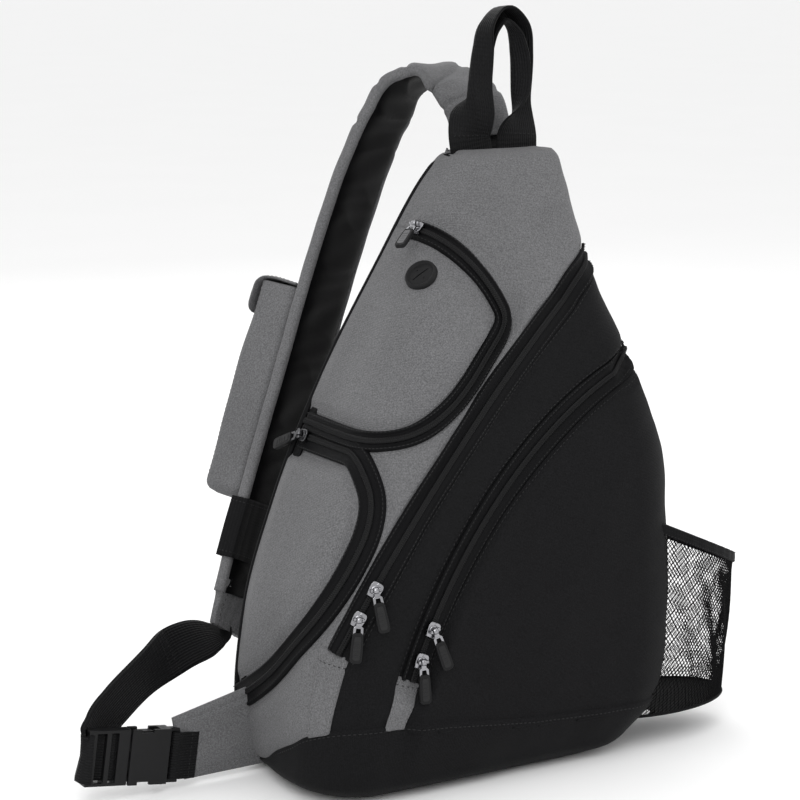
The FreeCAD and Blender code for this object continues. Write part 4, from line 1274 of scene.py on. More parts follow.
WEB = [((-148.4, 118.7, 103.6), (-0.1, 0.8, 0.6), 5), ((-151.5, 117.4, 97.6), (-0.1, 0.8, 0.6), 12),
       ((-160, 115.3, 97), (-0.1, 0.8, 0.6), 24), ((-174, 112, 97.5), (0, 0.75, 0.65), 36),
       ((-194, 106, 96), (0.1, 0.6, 0.8), 38), ((-231, 92, 86), (0.3, 0.1, 0.95), 38),
       ((-273, 76, 64), (0.22, 0.05, 0.96), 38), ((-292, 68, 50), (0.16, 0, 0.98), 38),
       ((-303, 60, 40.5), (0.14, 0, 0.99), 38), ((-307, 54, 37.5), (0.14, 0, 0.99), 38),
       ((-303, 49, 36.5), (0.14, 0, 0.99), 38), ((-293, 50, 35.5), (0.14, 0, 0.99), 38)]


class Path:
    """Centres, tangents, normals, sides and half widths along a run of stops."""

    def __init__(self, rows, step=2.0):
        flat = np.array([(*c, *a, w) for c, a, w in rows], float)
        even = resample(flat, step)
        run = run_of(even[:, :3])
        at = np.linspace(0, run[-1], int(run[-1] / step))
        even = np.stack([np.interp(at, run, even[:, k]) for k in range(7)], 1)
        self.p, self.half, self.run = even[:, :3], even[:, 6] / 2, at
        self.t = np.gradient(self.p, axis=0)
        self.t /= np.linalg.norm(self.t, axis=1, keepdims=True)
        side = even[:, 3:6] - self.t * np.sum(even[:, 3:6] * self.t, 1, keepdims=True)
        self.side = side / np.linalg.norm(side, axis=1, keepdims=True)
        self.n = np.cross(self.t, self.side)

    def part(self, lo, hi):
        cut = Path.__new__(Path)
        for key in ("p", "half", "run", "t", "side", "n"):
            setattr(cut, key, getattr(self, key)[lo:hi])
        return cut

    def near(self, point):
        return int(np.argmin(np.linalg.norm(self.p - np.array(point, float), axis=1)))

    def grid(self, across, rise):
        """Points across and above the path, by distances shaped (rows, cols)."""
        return self.p[:, None] + self.side[:, None] * across[..., None] + self.n[:, None] * rise[..., None]

    def uv(self, cols, wide):
        return pair_grid(self.run[:, None] * MM, np.linspace(0, wide, cols)[None] * MM)


strap_path = Path(STRAP)


def strap():
    s = strap_path
    rows = len(s.p)
    profile = np.array([(-0.87, 3.4), (-0.93, 4.0), (-0.985, 3.5), (-1.01, 2.0), (-1.015, 0), (-1.01, -2.0),
                        (-0.98, -3.6), (-0.92, -4.6), (-0.8, -5.3), (-0.6, -5.8), (-0.4, -6.1),
                        (-0.2, -6.2), (0, -6.25)])
    profile = np.concatenate([profile, profile[-2::-1] * (-1, 1)])
    across = s.half[:, None] * profile[None, :, 0]
    rise = np.repeat(profile[None, :, 1], rows, 0)
    run = s.run[:, None]
    arch = np.clip(1 - run / 190, 0, 1) ** 0.7
    faces_out = rise < 3
    pucker = 0.55 * np.sin(run / 8.7 + 2.0 * np.sin(run / 31)) + 0.35 * np.sin(run / 4.1 + across * 0.12)
    edge = np.abs(profile[None, :, 0]) > 0.9
    rise = rise + pucker * (0.35 + 0.9 * arch) * faces_out * (~edge)
    for at, deep in ((34, 1.6), (62, 2.6), (93, 2.2), (118, 1.2), (151, 1.5)):
        dent = np.exp(-((run - at - across * 0.08) / 2.6) ** 2)
        rise = rise + deep * dent * (rise < -2)
        across = across - np.sign(across) * deep * 0.9 * dent * edge
    across = across + edge * (0.45 * np.sin(run / 6.3 + np.sign(across)) * (0.5 + arch))
    outer_grid = s.grid(across, rise)
    outer = sheet_of("strap_outer_cloth", outer_grid, GREY, s.uv(len(profile), 90), thick=1.0, flip=True)

    cols = 33
    x = np.linspace(-0.9, 0.9, cols)[None] * np.ones((rows, 1))
    dome = (1 - np.abs(x / 0.9) ** 6)
    phase = run / 5.2 + 1.5 * np.sin(x * 2.2 + run / 23) + 0.9 * np.sin(run / 17)
    fold = (1 - 2 * np.abs(np.sin(phase / 2)) ** 0.7) * (0.5 + 2.4 * arch)
    fine = 0.6 * np.sin(run / 3.1 + x * 5 + np.sin(run / 11) * 2) + 0.9 * np.sin(run / 13 + x * 3.1)
    high = 3.0 + dome * (3.4 + 0.75 * fold + 0.5 * fine)
    lining = sheet_of("strap_lining_cloth", s.grid(x * s.half[:, None], high), LINING, s.uv(cols, 62),
                      thick=0.8)
    finish_piece(lining, "strap", ["strap_lining"])
    rows_of_thread = []
    for sign in (-1, 1):
        line = s.grid((s.half * 0.945 * sign)[:, None], np.full((rows, 1), 4.1))[:, 0]
        rows_of_thread.append(stitches("strap_thread", line, s.n, THREAD_BLACK, 4.0, 2.7, 0.6, 0.1))
        line = outer_grid[:, 8 if sign < 0 else len(profile) - 9]
        rows_of_thread.append(stitches("strap_thread", line, -s.n, THREAD_GREY, 4.0, 2.7, 0.6, 0.15))
    caps = []
    for index, flip in ((0, True), (rows - 1, False)):
        ring = outer_grid[index]
        caps.append(put("strap_end", ring, [tuple(range(len(ring)))[::-1 if flip else 1]], BLACK,
                        smooth=False))
    cover = join("strap_cover", [outer] + rows_of_thread + caps)
    finish_piece(cover, "strap", ["strap_outer", "strap_foam"])


strap()


def ring_profile(wide, low, high, radius, count=8):
    """Closed rounded rectangle of (across, rise) pairs."""
    turn = np.linspace(0, math.pi / 2, count)
    out = []
    for cx, cy, start in ((wide - radius, high - radius, 0), (-wide + radius, high - radius, 1),
                          (-wide + radius, low + radius, 2), (wide - radius, low + radius, 3)):
        a = turn + start * math.pi / 2
        out.append(np.stack([cx + radius * np.cos(a), cy + radius * np.sin(a)], 1))
    return np.concatenate(out)


def strap_tail():
    """The sewn end that takes the webbing, with a boxed cross of stitching."""
    s = Path(TAIL, 1.5)
    prof = ring_profile(1.0, -1.0, 1.0, 0.42)
    taper = (0.8 + 0.62 * (1 - step_up(np.linspace(0, 1.25, len(s.p)))))[:, None]
    grid = s.grid(prof[None, :, 0] * s.half[:, None], prof[None, :, 1] * 4.4 * taper)
    body = sheet_of("tail_cloth", grid, GREY, s.uv(len(prof), 90), wrap=True)
    ends = end_faces("tail_end", grid, GREY, smooth=False)
    thread = []
    for sign in (-1, 1):
        for face, colour in ((-1, THREAD_GREY), (1, THREAD_BLACK)):
            line = s.grid((s.half * 0.8 * sign)[:, None], face * 4.3 * taper)[:, 0]
            thread.append(stitches("tail_thread", line, face * s.n, colour, 3.6, 2.4, 0.6))
    for k in (3, len(s.p) - 4):
        across = np.linspace(-0.8, 0.8, 20) * s.half[k]
        for sign in (-1, 1):
            line = s.p[k] + s.side[k] * across[:, None] + s.n[k] * sign * 4.4 * taper[k]
            thread.append(stitches("tail_thread", line, np.tile(s.n[k] * sign, (20, 1)),
                                   THREAD_GREY, 3.6, 2.4, 0.6))
    finish_piece(join("tail_cover", [body] + ends + thread), "strap", ["strap_tail"])


strap_tail()


def keeper():
    """Elastic loop round the strap, with its sewn overlap."""
    mid = strap_path.near(KEEPER_MID)
    s = strap_path.part(mid - 13, mid + 13)
    prof = ring_profile(1.0, -1.0, 1.0, 0.2, 6)
    bulge = 1 + 0.012 * np.sin(np.linspace(0, math.pi, len(s.p)))[:, None]
    shape = []
    for extra in (0.0, 1.4):
        shape.append(s.grid(prof[None, :, 0] * (35.2 + extra) * bulge,
                            prof[None, :, 1] * (7.9 + extra) * bulge))
    outer = np.concatenate([shape[0][:1], shape[1], shape[0][-1:], shape[0][::-1]])
    uv = pair_grid(np.arange(len(outer))[:, None] * 0.002, np.linspace(0, 0.16, len(prof))[None])
    band = sheet_of("keeper_elastic", outer, BINDING, uv, wrap=True)
    rows = []
    for k in (2, len(s.p) - 3):
        ring = np.concatenate([shape[1][k], shape[1][k][:1]])
        normals = ring - s.p[k]
        rows.append(stitches("keeper_thread", ring, normals, THREAD_BLACK, 3.2, 2.2, 0.5, 0.2))
    finish_piece(join("keeper_loop", [band] + rows), "strap", ["keeper_band"])


keeper()


def phone_pouch():
    """A boxed pouch on the strap: its walls, seams and real inside, open at the top."""
    lo, hi = strap_path.near(POUCH_TOP), strap_path.near(POUCH_END)
    s = strap_path.part(lo, hi + 1)
    down = (s.run - s.run[0])[:, None]
    length = down[-1, 0]
    prof = ring_profile(30.0, -19.2, 19.2, 8.5, 9)
    a, b = prof[None, :, 0], prof[None, :, 1]
    sag = 1.6 * np.sin(math.pi * np.clip(down / length, 0, 1)) * (1 - (a / 30) ** 4) * (b < 0)
    wrinkle = 0.5 * np.sin(down / 17 + a / 11) + 0.3 * np.sin(down / 9.7 - b / 9)
    wrinkle = wrinkle + 0.7 * np.sin(down / 31 + a / 19)
    end = np.clip((length - down) / 9.0, 0, 1)
    shrink = np.sqrt(1 - (1 - end) ** 2) * 9 - 9
    wide = 1 + shrink / 30
    deep = 1 + shrink / 19.2
    outer = s.grid(a * wide + 0 * down, b * deep - 25.4 - sag - wrinkle * (b < -10))
    inner = s.grid(a * 0.90 * wide, b * 0.86 * deep - 25.4)[:-3]
    close_out = outer[-1].mean(0)[None, None] + 0 * outer[-1:]
    close_in = inner[-1].mean(0)[None, None] + 0 * inner[-1:]
    rim = (outer[:1] + inner[:1]) / 2 - s.t[0] * 0.9
    grid = np.concatenate([close_in, inner[::-1], rim, outer, close_out])
    girth = run_of(prof) * MM
    uv = pair_grid(np.arange(len(grid))[:, None] * 0.002, girth[None])
    body = sheet_of("pouch_cloth", grid, GREY, uv, wrap=True, flip=True)
    rows_of_thread = []
    corner_cols = [int(np.argmin(np.hypot(prof[:, 0] - x, prof[:, 1] - y)))
                   for x, y in ((27.5, -17.6), (-27.5, -17.6), (29.2, -13.5), (-29.2, -13.5))]
    mid = outer.mean(1, keepdims=True)
    facing = (outer - mid) / np.linalg.norm(outer - mid, axis=2, keepdims=True)
    for col in corner_cols:
        rows_of_thread.append(stitches("pouch_thread", outer[3:-6, col], facing[3:-6, col], THREAD_GREY,
                                       3.8, 2.5, 0.55, 0.15))
    front = np.argsort(prof[:, 0] + 1000 * (prof[:, 1] > -18.5))[:int((prof[:, 1] < -18.5).sum())]
    line = resample_by(outer[-9, front], 2.0)
    rows_of_thread.append(stitches("pouch_thread", line, np.tile(-s.n[-9], (len(line), 1)), THREAD_GREY,
                                   3.8, 2.5, 0.55, 0.3))
    finish_piece(join("pouch_body", [body] + rows_of_thread), "strap", ["pouch"])


phone_pouch()


def pouch_flap():
    """The flap: a lid of doubled cloth over the mouth that turns down the pouch's outer face."""
    k = strap_path.near(POUCH_TOP)
    p, t, side, n = strap_path.p[k], -strap_path.t[k], strap_path.side[k], strap_path.n[k]
    line = resample(np.array([(-8.5, 3.0), (-20, 4.0), (-34, 4.0), (-42.5, 2.4), (-46.6, -1.5), (-47.8, -9),
                              (-47.6, -18), (-47.2, -27)]), 1.5)
    turn = np.gradient(line, axis=0)
    turn /= np.linalg.norm(turn, axis=1, keepdims=True)
    out = np.stack([-turn[:, 1], turn[:, 0]], 1)
    out *= np.where(out[:, 1:] * 0 + (out @ np.array([-1, 1]))[:, None] > 0, 1, -1)
    rows = len(line)
    cols = 40
    a = np.linspace(-1, 1, cols)
    run = np.arange(rows)[:, None] * 1.5
    left = np.clip((rows - 1 - np.arange(rows)) * 1.5 / 8, 0, 1)
    half = 30.6 - 8 * (1 - np.sqrt(1 - (1 - left) ** 2))
    rounded = np.sqrt(np.clip(1 - np.abs(a) ** 8, 0.05, 1))[None]
    thick = 1.35 * rounded * np.sqrt(np.clip(left, 0.15, 1))[:, None]
    crown = 0.5 * (1 - a[None] ** 2) + 0.25 * np.sin(run / 5 + a[None] * 4)
    layers = []
    for sign in (1, -1):
        lift = sign * thick + crown
        flat = line[:, None] + out[:, None] * lift[..., None]
        layers.append(p + side * (half[:, None] * a[None])[..., None] + n * flat[..., :1] + t * flat[..., 1:])
    grid = np.concatenate([layers[0], layers[1][:, ::-1]], 1)
    uv = pair_grid(run * MM, np.linspace(0, 0.13, 2 * cols)[None])
    body = sheet_of("flap_cloth", grid, GREY, uv, wrap=True)
    ends = end_faces("flap_end", grid, GREY)
    top = layers[0]
    normals = n * out[:, :1] + t * out[:, 1:]
    threads = [stitches("flap_thread", top[2:-5, j], normals[2:-5], THREAD_GREY, 3.6, 2.4, 0.55, 0.1)
               for j in (3, cols - 4)]
    threads.append(stitches("flap_thread", top[-5, 4:-4], np.tile(normals[-5], (cols - 8, 1)),
                            THREAD_GREY, 3.6, 2.4, 0.55, 0.1))
    threads.append(stitches("flap_thread", top[3, 4:-4], np.tile(normals[3], (cols - 8, 1)),
                            THREAD_GREY, 3.6, 2.4, 0.55, 0.1))
    finish_piece(join("flap_cover", [body] + ends + threads), "pouch_flap", ["pouch_flap"])


pouch_flap()


def strap_root():
    """Webbing that sews the strap's upper end to the back of the bag."""
    rows = [((73, 73.4, 456), (1, 0, 0), 50), ((73, 74.4, 470), (1, 0, 0), 50),
            ((73, 77.5, 480), (1, 0, 0), 50), ((73, 84, 488), (1, 0, 0), 49),
            ((73, 88.5, 496), (1, 0, 0), 48), ((72.5, 92, 505), (1, 0, 0), 48)]
    s = Path(rows, 1.5)
    prof = ring_profile(1.0, -1.0, 1.0, 0.4, 5)
    grid = s.grid(prof[None, :, 0] * s.half[:, None], prof[None, :, 1] * np.full((len(s.p), 1), 1.7))
    body = sheet_of("root_webbing", grid, WEBBING, s.uv(len(prof), 104), wrap=True)
    ends = end_faces("root_end", grid, WEBBING)
    threads = []
    for k in (2, 9):
        across = np.linspace(-21, 21, 24)[:, None]
        threads.append(stitches("root_thread", s.p[k] + s.side[k] * across - s.n[k] * 1.75,
                                np.tile(-s.n[k], (24, 1)),
                                THREAD_BLACK, 3.4, 2.3, 0.6))
    obj = join("root_loop", [body] + ends + threads)
    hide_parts("strap_anchor")
    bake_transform(obj)


strap_root()

# ------------------------------------------------------------------ carry handle


def folded(half, turn, count=14):
    """Cross-section of webbing bent about its middle by turn radians, 0 flat and pi folded flat."""
    x = np.linspace(-half, half, count)
    bend_len = 6.0
    angle = turn / 2 * np.clip(x / bend_len, -1, 1)
    step = x[1] - x[0]
    pts = np.stack([np.cumsum(np.cos(angle)) * step, np.cumsum(np.sin(angle)) * step], 1)
    pts -= (pts.min(0) + pts.max(0)) / 2
    return pts


def handle():
    """One length of webbing: flat where it is sewn in, folded double along the grip."""
    s = Path(HANDLE, 2.0)
    rows = len(s.p)
    rise_z = s.p[:, 2]
    fold = step_up((rise_z - 488) / 56)
    count = 18
    grid = np.zeros((rows, 2 * count, 3))
    half = 19.0
    for k in range(rows):
        sec = folded(half, fold[k] * math.pi * 0.94, count)
        turn = fold[k] * math.pi / 2
        side, n = s.side[k], s.n[k]
        normal_dir = np.gradient(sec, axis=0)
        normal_dir /= np.linalg.norm(normal_dir, axis=1, keepdims=True)
        out = np.stack([-normal_dir[:, 1], normal_dir[:, 0]], 1)
        for layer, sign in enumerate((1, -1)):
            pts = sec + out * sign * 0.85
            a = pts[:, 0] * math.cos(turn) + pts[:, 1] * math.sin(turn)
            b = -pts[:, 0] * math.sin(turn) + pts[:, 1] * math.cos(turn)
            line = s.p[k] + side * a[:, None] + n * b[:, None]
            grid[k, layer * count:(layer + 1) * count] = line if layer == 0 else line[::-1]
    body = sheet_of("handle_webbing", grid, WEBBING, s.uv(2 * count, 80), wrap=True)
    ends = end_faces("handle_end", grid, WEBBING)
    threads = []
    for k in (7, rows - 8):
        across = np.linspace(-15, 15, 18)[:, None]
        for sign in (-1, 1):
            threads.append(stitches("handle_thread", s.p[k] + s.side[k] * across + s.n[k] * sign * 1.0,
                                    np.tile(s.n[k] * sign, (18, 1)), THREAD_BLACK, 3.4, 2.3, 0.6))
    finish_piece(join("handle_loop", [body] + ends + threads), "handle", ["handle"])


handle()

# ------------------------------------------------------------------ webbing, wing and buckle


def webbing():
    """The lower webbing in two lengths that meet where it hangs still."""
    s = Path(WEB, 2.0)
    cut = s.near((-236, 90, 84.5))
    wave = 0.8 * np.sin(s.run / 26.0)[:, None]
    x = np.linspace(-1, 1, 12)
    ring_x = np.r_[x, x[::-1]]
    ring_y = np.r_[np.full(12, 0.85), np.full(12, -0.85)]
    twist = 0.6 * np.sin(s.run / 40.0)[:, None] * ring_x[None]
    full = s.grid(ring_x[None] * s.half[:, None], ring_y[None] + wave + twist)
    doubled_from = s.near((-206, 102, 93.5))
    second = s.grid(ring_x[None] * s.half[:, None] * 0.99, ring_y[None] * 0.95 - 1.9 + wave + twist)
    made = {}
    for name, lo, hi in (("upper", 0, cut + 1), ("lower", cut, len(s.p) - 4)):
        uv = s.uv(24, 76)[lo:hi]
        parts = [sheet_of(name + "_ply", full[lo:hi], WEBBING, uv, wrap=True)]
        a, b = max(lo, doubled_from), min(hi, len(s.p) - 8)
        if b > a:
            parts.append(sheet_of(name + "_ply2", second[a:b], WEBBING, s.uv(24, 76)[a:b], wrap=True))
            if a == doubled_from:
                parts.append(put("ply_end", second[a], [tuple(range(24))], WEBBING))
                for k in (a + 2, a + 5):
                    reach = (np.linspace(-0.9, 0.9, 22) * s.half[k])[:, None]
                    line = s.p[k] + s.side[k] * reach - s.n[k] * (2.9 - wave[k])
                    parts.append(stitches("web_thread", line, np.tile(-s.n[k], (22, 1)),
                                          THREAD_BLACK, 3.2, 2.2, 0.6))
        made[name] = join(name + "_webbing", parts)
    for obj in made.values():
        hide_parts("webbing")
    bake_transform(made["upper"])
    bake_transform(made["lower"])


webbing()

WING_Y = 54.0
buckle_turn = Matrix.Rotation(math.radians(180), 4, "Z") @ Matrix.Rotation(math.radians(-8), 4, "Y")
BUCKLE = Matrix.Translation((-0.226, WING_Y * MM, 0.026)) @ buckle_turn


def bevelled(node_name, width, material, body):
    """The CAD piece with its sharp edges rounded."""
    bm = bmesh.new()
    bm.from_mesh(frame["nodes"][node_name].data)
    bmesh.ops.remove_doubles(bm, verts=bm.verts, dist=1e-5)
    bmesh.ops.dissolve_limit(bm, angle_limit=math.radians(2), verts=bm.verts, edges=bm.edges)
    sharp = [e for e in bm.edges if len(e.link_faces) == 2 and e.calc_face_angle(0) > math.radians(35)]
    bmesh.ops.bevel(bm, geom=sharp, offset=width * MM, segments=2, affect="EDGES", profile=0.6,
                    clamp_overlap=True)
    bmesh.ops.triangulate(bm, faces=bm.faces)
    mesh = bpy.data.meshes.new(node_name + "_moulded")
    bm.to_mesh(mesh)
    bm.free()
    mesh.materials.append(material)
    obj = bpy.data.objects.new(node_name + "_moulded", mesh)
    scene.collection.objects.link(obj)
    return finish_piece(obj, body, [node_name])


bevelled("buckle_female", 0.7, PLASTIC, "bag")
bevelled("buckle_male", 0.6, PLASTIC, "buckle_male")
bevelled("prong_upper", 0.6, PLASTIC, "prong_upper")
bevelled("prong_lower", 0.6, PLASTIC, "prong_lower")


def ladder_webbing():
    """The webbing's run through the two slots of the male part."""
    line = resample(np.array([(53, 1.2), (57, 1.8), (62.6, 0.4), (68, -1.0), (74.5, -1.6)]), 1.2)
    rows = []
    for z in np.linspace(-18.4, 18.4, 16):
        ring = np.concatenate([line + (0, 0.8), (line - (0, 0.8))[::-1]])
        rows.append(np.stack([ring[:, 0], ring[:, 1], np.full(len(ring), z)], 1))
    grid = np.array(rows)
    uv = pair_grid(grid[..., 0] * MM, grid[..., 2] * MM)
    obj = sheet_of("ladder_ply", grid, WEBBING, uv, wrap=True)
    ends = end_faces("ladder_end", grid, WEBBING)
    whole = join("ladder_webbing", [obj] + ends)
    whole.data.transform(BUCKLE)
    finish_piece(whole, "buckle_male", ["webbing"])


ladder_webbing()


def wing():
    """The doubled grey gusset from the bag to the buckle, topstitched round its edge."""
    corners = np.array([(-155, 73), (-231, 56), (-221.5, 4.5), (-150, 5.5)], float)
    top_in, top_out, low_out, low_in = corners
    rows = []
    count = 36
    a = np.linspace(0, 1, count)
    for b in a:
        inner, outer = low_in + (top_in - low_in) * b, low_out + (top_out - low_out) * b
        line = inner + (outer - inner) * a[:, None]
        rim = np.minimum(np.minimum(b, 1 - b), 1 - a)
        puff = np.sqrt(np.clip(rim / 0.16, 0, 1))
        sag = 0.8 * crumple(line[:, 0], line[:, 1], 40, 3)
        groove_d = np.exp(-((rim - 0.11) / 0.022) ** 2)
        front = WING_Y - 0.9 - 2.9 * puff + 1.0 * groove_d - sag * puff * 0.5
        back = WING_Y + 0.9 + 2.7 * puff - 1.0 * groove_d - sag * puff * 0.4
        rows.append(np.concatenate([np.stack([line[:, 0], front, line[:, 1]], 1),
                                    np.stack([line[::-1, 0], back[::-1], line[::-1, 1]], 1)]))
    grid = np.array(rows)
    uv = grid[..., [0, 2]] * MM
    body = sheet_of("wing_cloth", grid, GREY, uv, wrap=True)
    ends = end_faces("wing_end", grid, GREY)
    threads = []
    for b, lo, hi in ((4, 2, -4), (31, 2, -4)):
        for col, facing in ((slice(lo, count + hi), (0, -1, 0)),
                            (slice(count - hi, 2 * count - lo), (0, 1, 0))):
            line = grid[b, col]
            threads.append(stitches("wing_thread", line, np.tile(facing, (len(line), 1)),
                                    THREAD_GREY, 3.8, 2.5, 0.55, 0.2))
    for j, facing in ((count - 5, (0, -1, 0)), (count + 4, (0, 1, 0))):
        line = grid[4:-4, j]
        threads.append(stitches("wing_thread", line, np.tile(facing, (len(line), 1)),
                                THREAD_GREY, 3.8, 2.5, 0.55, 0.2))
    finish_piece(join("wing_gusset", [body] + ends + threads), "bag", ["wing"])


wing()


def buckle_loop():
    """Webbing folded round the buckle's bar and sewn into the wing."""
    line = np.array([(-14, 3.4), (-6, 4.2), (-1, 4.9), (4, 4.95), (7.6, 3.6), (8.2, 0), (7.6, -3.6),
                     (4, -4.95), (-1, -4.9), (-6, -4.2), (-14, -3.4)])
    path = resample(line, 1.2)
    turn = np.gradient(path, axis=0)
    turn /= np.linalg.norm(turn, axis=1, keepdims=True)
    out = np.stack([-turn[:, 1], turn[:, 0]], 1)
    rows = []
    for z in np.linspace(-18.6, 18.6, 16):
        ring = np.concatenate([path + out * 0.75, (path - out * 0.75)[::-1]])
        rows.append(np.stack([ring[:, 0], ring[:, 1], np.full(len(ring), z)], 1))
    grid = np.array(rows)
    girth = run_of(grid[0])
    uv = pair_grid(girth[None] * MM, grid[:, :1, 2] * MM)
    obj = sheet_of("buckle_loop", grid, WEBBING, uv, wrap=True)
    ends = end_faces("loop_end", grid, WEBBING)
    threads = []
    for x in (-3.4, -8.0):
        for y in (-5.2, 5.2):
            pts = np.stack([np.full(16, x), np.full(16, y), np.linspace(-17, 17, 16)], 1)
            threads.append(stitches("loop_thread", pts, np.tile((0, np.sign(y), 0), (16, 1)),
                                    THREAD_BLACK, 3.0, 2.1, 0.6, -0.2))
    whole = join("buckle_webbing", [obj] + ends + threads)
    whole.data.transform(BUCKLE)
    finish_piece(whole, "bag", ["wing_webbing"])


buckle_loop()

# ------------------------------------------------------------------ mesh bottle pocket


TUB_X, TUB_Y, TUB_FOOT, NET_FLOOR = 166, -20, 26, 27.0


def tub_point(angle, z, grow=0.0):
    """A point of the bottle pocket's wall, an oval that widens upwards."""
    share_up = (z - TUB_FOOT) / 164.0
    half_x, half_y = 76 + 12 * share_up + grow, 44 + 6 * share_up + grow
    return np.stack([TUB_X + half_x * np.cos(angle), TUB_Y + half_y * np.sin(angle), z + 0 * angle], -1)


def hem_z(x):
    """Height of the pocket's slanting mouth."""
    return 228 + (112 - 228) * (x - 60) / 260.0


def outside_gap(points):
    """How far points stand off the finished bag, negative inside it."""
    flat, off = locate(points)
    return off - height(flat[:, 0], flat[:, 1])


def pocket_span(z):
    """First and last angle of the pocket's wall that is clear of the bag."""
    turn = np.radians(np.linspace(-60, -150, 46))
    gap = outside_gap(tub_point(turn, np.full(46, float(z))))
    first = turn[int(np.argmax(gap < -1))] if (gap < -1).any() else turn[-1]
    turn = np.radians(np.linspace(60, 150, 46))
    wall = np.interp(z, ROWS, EDGES[:, 1])
    x = tub_point(turn, np.full(46, float(z)))[:, 0]
    last = turn[int(np.argmax(x < wall - 1))] if (x < wall - 1).any() else turn[-1]
    return first, last


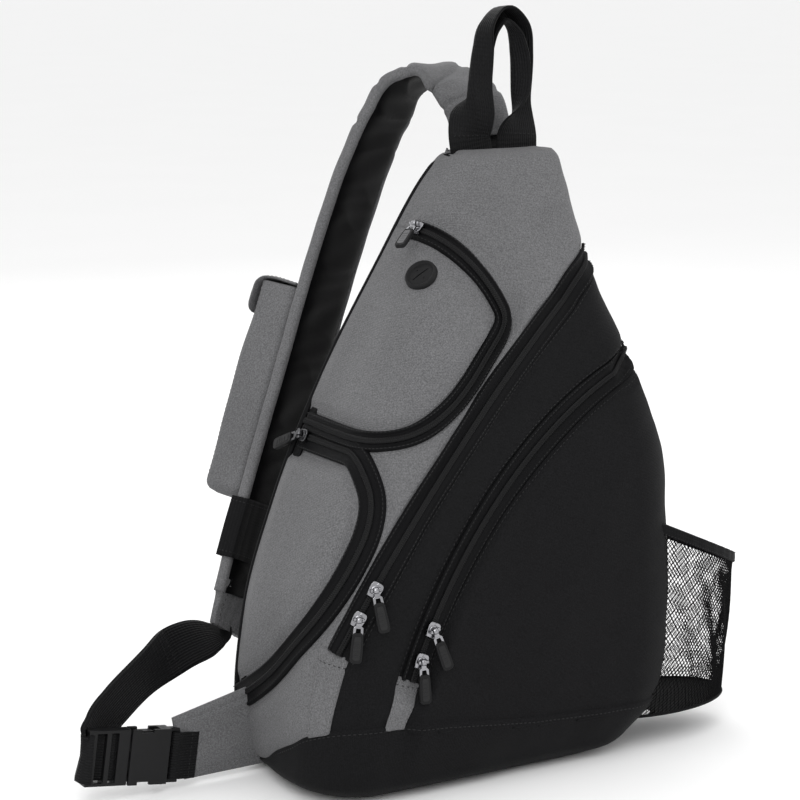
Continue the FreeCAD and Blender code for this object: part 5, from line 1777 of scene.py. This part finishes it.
def bottle_pocket():
    levels = np.linspace(TUB_FOOT, 200, 10)
    spans = np.array([pocket_span(z) for z in levels])

    def wall(share_round, z, grow=0.0):
        first, last = np.interp(z, levels, spans[:, 0]), np.interp(z, levels, spans[:, 1])
        return tub_point(first + (last - first) * share_round, z, grow)

    def mouth(share_round):
        z = np.full_like(share_round, 150.0)
        for _ in range(8):
            z = hem_z(wall(share_round, z)[..., 0])
        return z

    across, upward = 148, 54
    i = np.linspace(0, 1, across + 1)
    top = mouth(i) - 5
    vert, faces = {}, []
    points = []

    def index(a, b):
        if (a, b) not in vert:
            t = b / upward
            z = NET_FLOOR + (top[a] - NET_FLOOR) * t
            p = wall(np.array(i[a]), np.array(z), 1.2 * math.sin(a * 0.35 + b * 0.2) * math.sin(math.pi * t))
            vert[(a, b)] = len(points)
            points.append(p)
        return vert[(a, b)]
    for a in range(across + 1):
        for b in range(upward + 1):
            if (a + b) % 2:
                ring = [(a - 1, b), (a, b + 1), (a + 1, b), (a, b - 1)]
                ring = [(x, y) for x, y in ring if 0 <= x <= across and 0 <= y <= upward]
                if len(ring) >= 3:
                    faces.append([index(x, y) for x, y in ring])
    net = put("net_strands", points, faces, NET)
    wire = net.modifiers.new("strands", "WIREFRAME")
    wire.thickness, wire.use_even_offset, wire.use_boundary = 0.00095, False, True
    fine = np.linspace(0, 1, 160)
    z_top = mouth(fine)
    prof = [(-4.6, 0.0), (-4.4, 0.9), (-3.6, 1.3), (0, 1.5), (3.6, 1.3), (4.4, 0.9), (4.6, 0.0),
            (4.4, -0.9), (3.6, -1.3), (0, -1.5), (-3.6, -1.3), (-4.4, -0.9)]
    rows = []
    for k, f in enumerate(fine):
        centre = wall(np.array(f), np.array(z_top[k] - 4.6), 0.6)
        out = centre - np.array([TUB_X, TUB_Y, centre[2]])
        out /= np.linalg.norm(out)
        gather = 0.5 * math.sin(k * 0.9)
        rows.append([centre + np.array([0, 0, 1]) * h * 0.98 + out * (w + gather * 0.4) for h, w in prof])
    grid = np.array(rows)
    uv = pair_grid(np.arange(160)[:, None] * 0.0018, np.linspace(0, 0.022, len(prof))[None])
    hem = sheet_of("hem_binding", grid, BINDING, uv, wrap=True)
    threads = [stitches("hem_thread", grid[:, col], grid[:, 3] - grid[:, 9],
                        THREAD_BLACK, 3.2, 2.2, 0.55, 0.2) for col in (2, 4)]
    finish_piece(join("pocket_hem", [hem] + threads), "bag", ["mesh_hem"])
    floor_rows = []
    for t in np.linspace(0, 1, 14):
        ring = wall(np.linspace(0, 1, 60), np.full(60, NET_FLOOR))
        centre = np.stack([np.full(60, 152.0), np.linspace(-58, 24, 60), np.full(60, NET_FLOOR)], 1)
        line = ring + (centre - ring) * t
        line[:, 2] += -1.0 * math.sin(math.pi * t) ** 0.5
        floor_rows.append(line)
    grid = np.array(floor_rows)
    base_cloth = sheet_of("net_floor", grid, NET, grid[..., :2] * MM, thick=0.8)
    edge = strand("net_cord", wall(np.linspace(0, 1, 90), np.full(90, NET_FLOOR), 0.3), 1.3, BINDING, 8)
    finish_piece(join("bottle_net", [net, base_cloth, edge]), "bag", ["mesh_pocket"])


bottle_pocket()

# ------------------------------------------------------------------ floor, light and camera


def area_light(name, place, target, size, power):
    data = bpy.data.lights.new(name, "AREA")
    data.shape, data.size, data.size_y, data.energy = "RECTANGLE", size[0], size[1], power
    obj = bpy.data.objects.new(name, data)
    scene.collection.objects.link(obj)
    obj.location = place
    obj.rotation_euler = (Vector(target) - Vector(place)).to_track_quat("-Z", "Y").to_euler()


scene.view_settings.view_transform = "Standard"
floor = put("studio_floor", [(-9e4, -9e4, -0.6), (9e4, -9e4, -0.6), (9e4, 9e4, -0.6), (-9e4, 9e4, -0.6)],
            [(0, 1, 2, 3)], FLOOR, smooth=False)

centre = (0.0, 0.0, 0.25)
area_light("key_light", (-1.5, -1.7, 1.9), centre, (1.6, 1.6), 26)
area_light("fill_light", (1.9, -1.2, 1.0), centre, (1.4, 1.8), 7)
area_light("back_light", (0.2, 2.0, 1.5), centre, (2.0, 1.2), 12)
area_light("top_light", (0.0, -0.1, 2.4), centre, (2.0, 2.0), 9)
world = bpy.data.worlds.new("studio_world")
scene.world = world
world.use_nodes = True
world.node_tree.nodes["Background"].inputs["Color"].default_value = (1.0, 1.0, 1.0, 1)
world.node_tree.nodes["Background"].inputs["Strength"].default_value = 0.97

AZIMUTH, ELEVATION, DISTANCE = math.radians(-31), math.radians(11), 1.9
away = Vector((math.sin(AZIMUTH) * math.cos(ELEVATION), -math.cos(AZIMUTH) * math.cos(ELEVATION),
               math.sin(ELEVATION)))
right = Vector((math.cos(AZIMUTH), math.sin(AZIMUTH), 0))
up = away.cross(right)
data = bpy.data.cameras.new("photo_camera")
data.lens, data.sensor_width = 108.2, 36.0
camera = bpy.data.objects.new("photo_camera", data)
scene.collection.objects.link(camera)
aim = Vector((0, 0, 0.240)) - right * 0.049 + up * 0.052
looking = Matrix((right, up, away)).transposed().to_4x4()
camera.matrix_world = Matrix.Translation(aim + away * DISTANCE) @ looking
scene.camera = camera
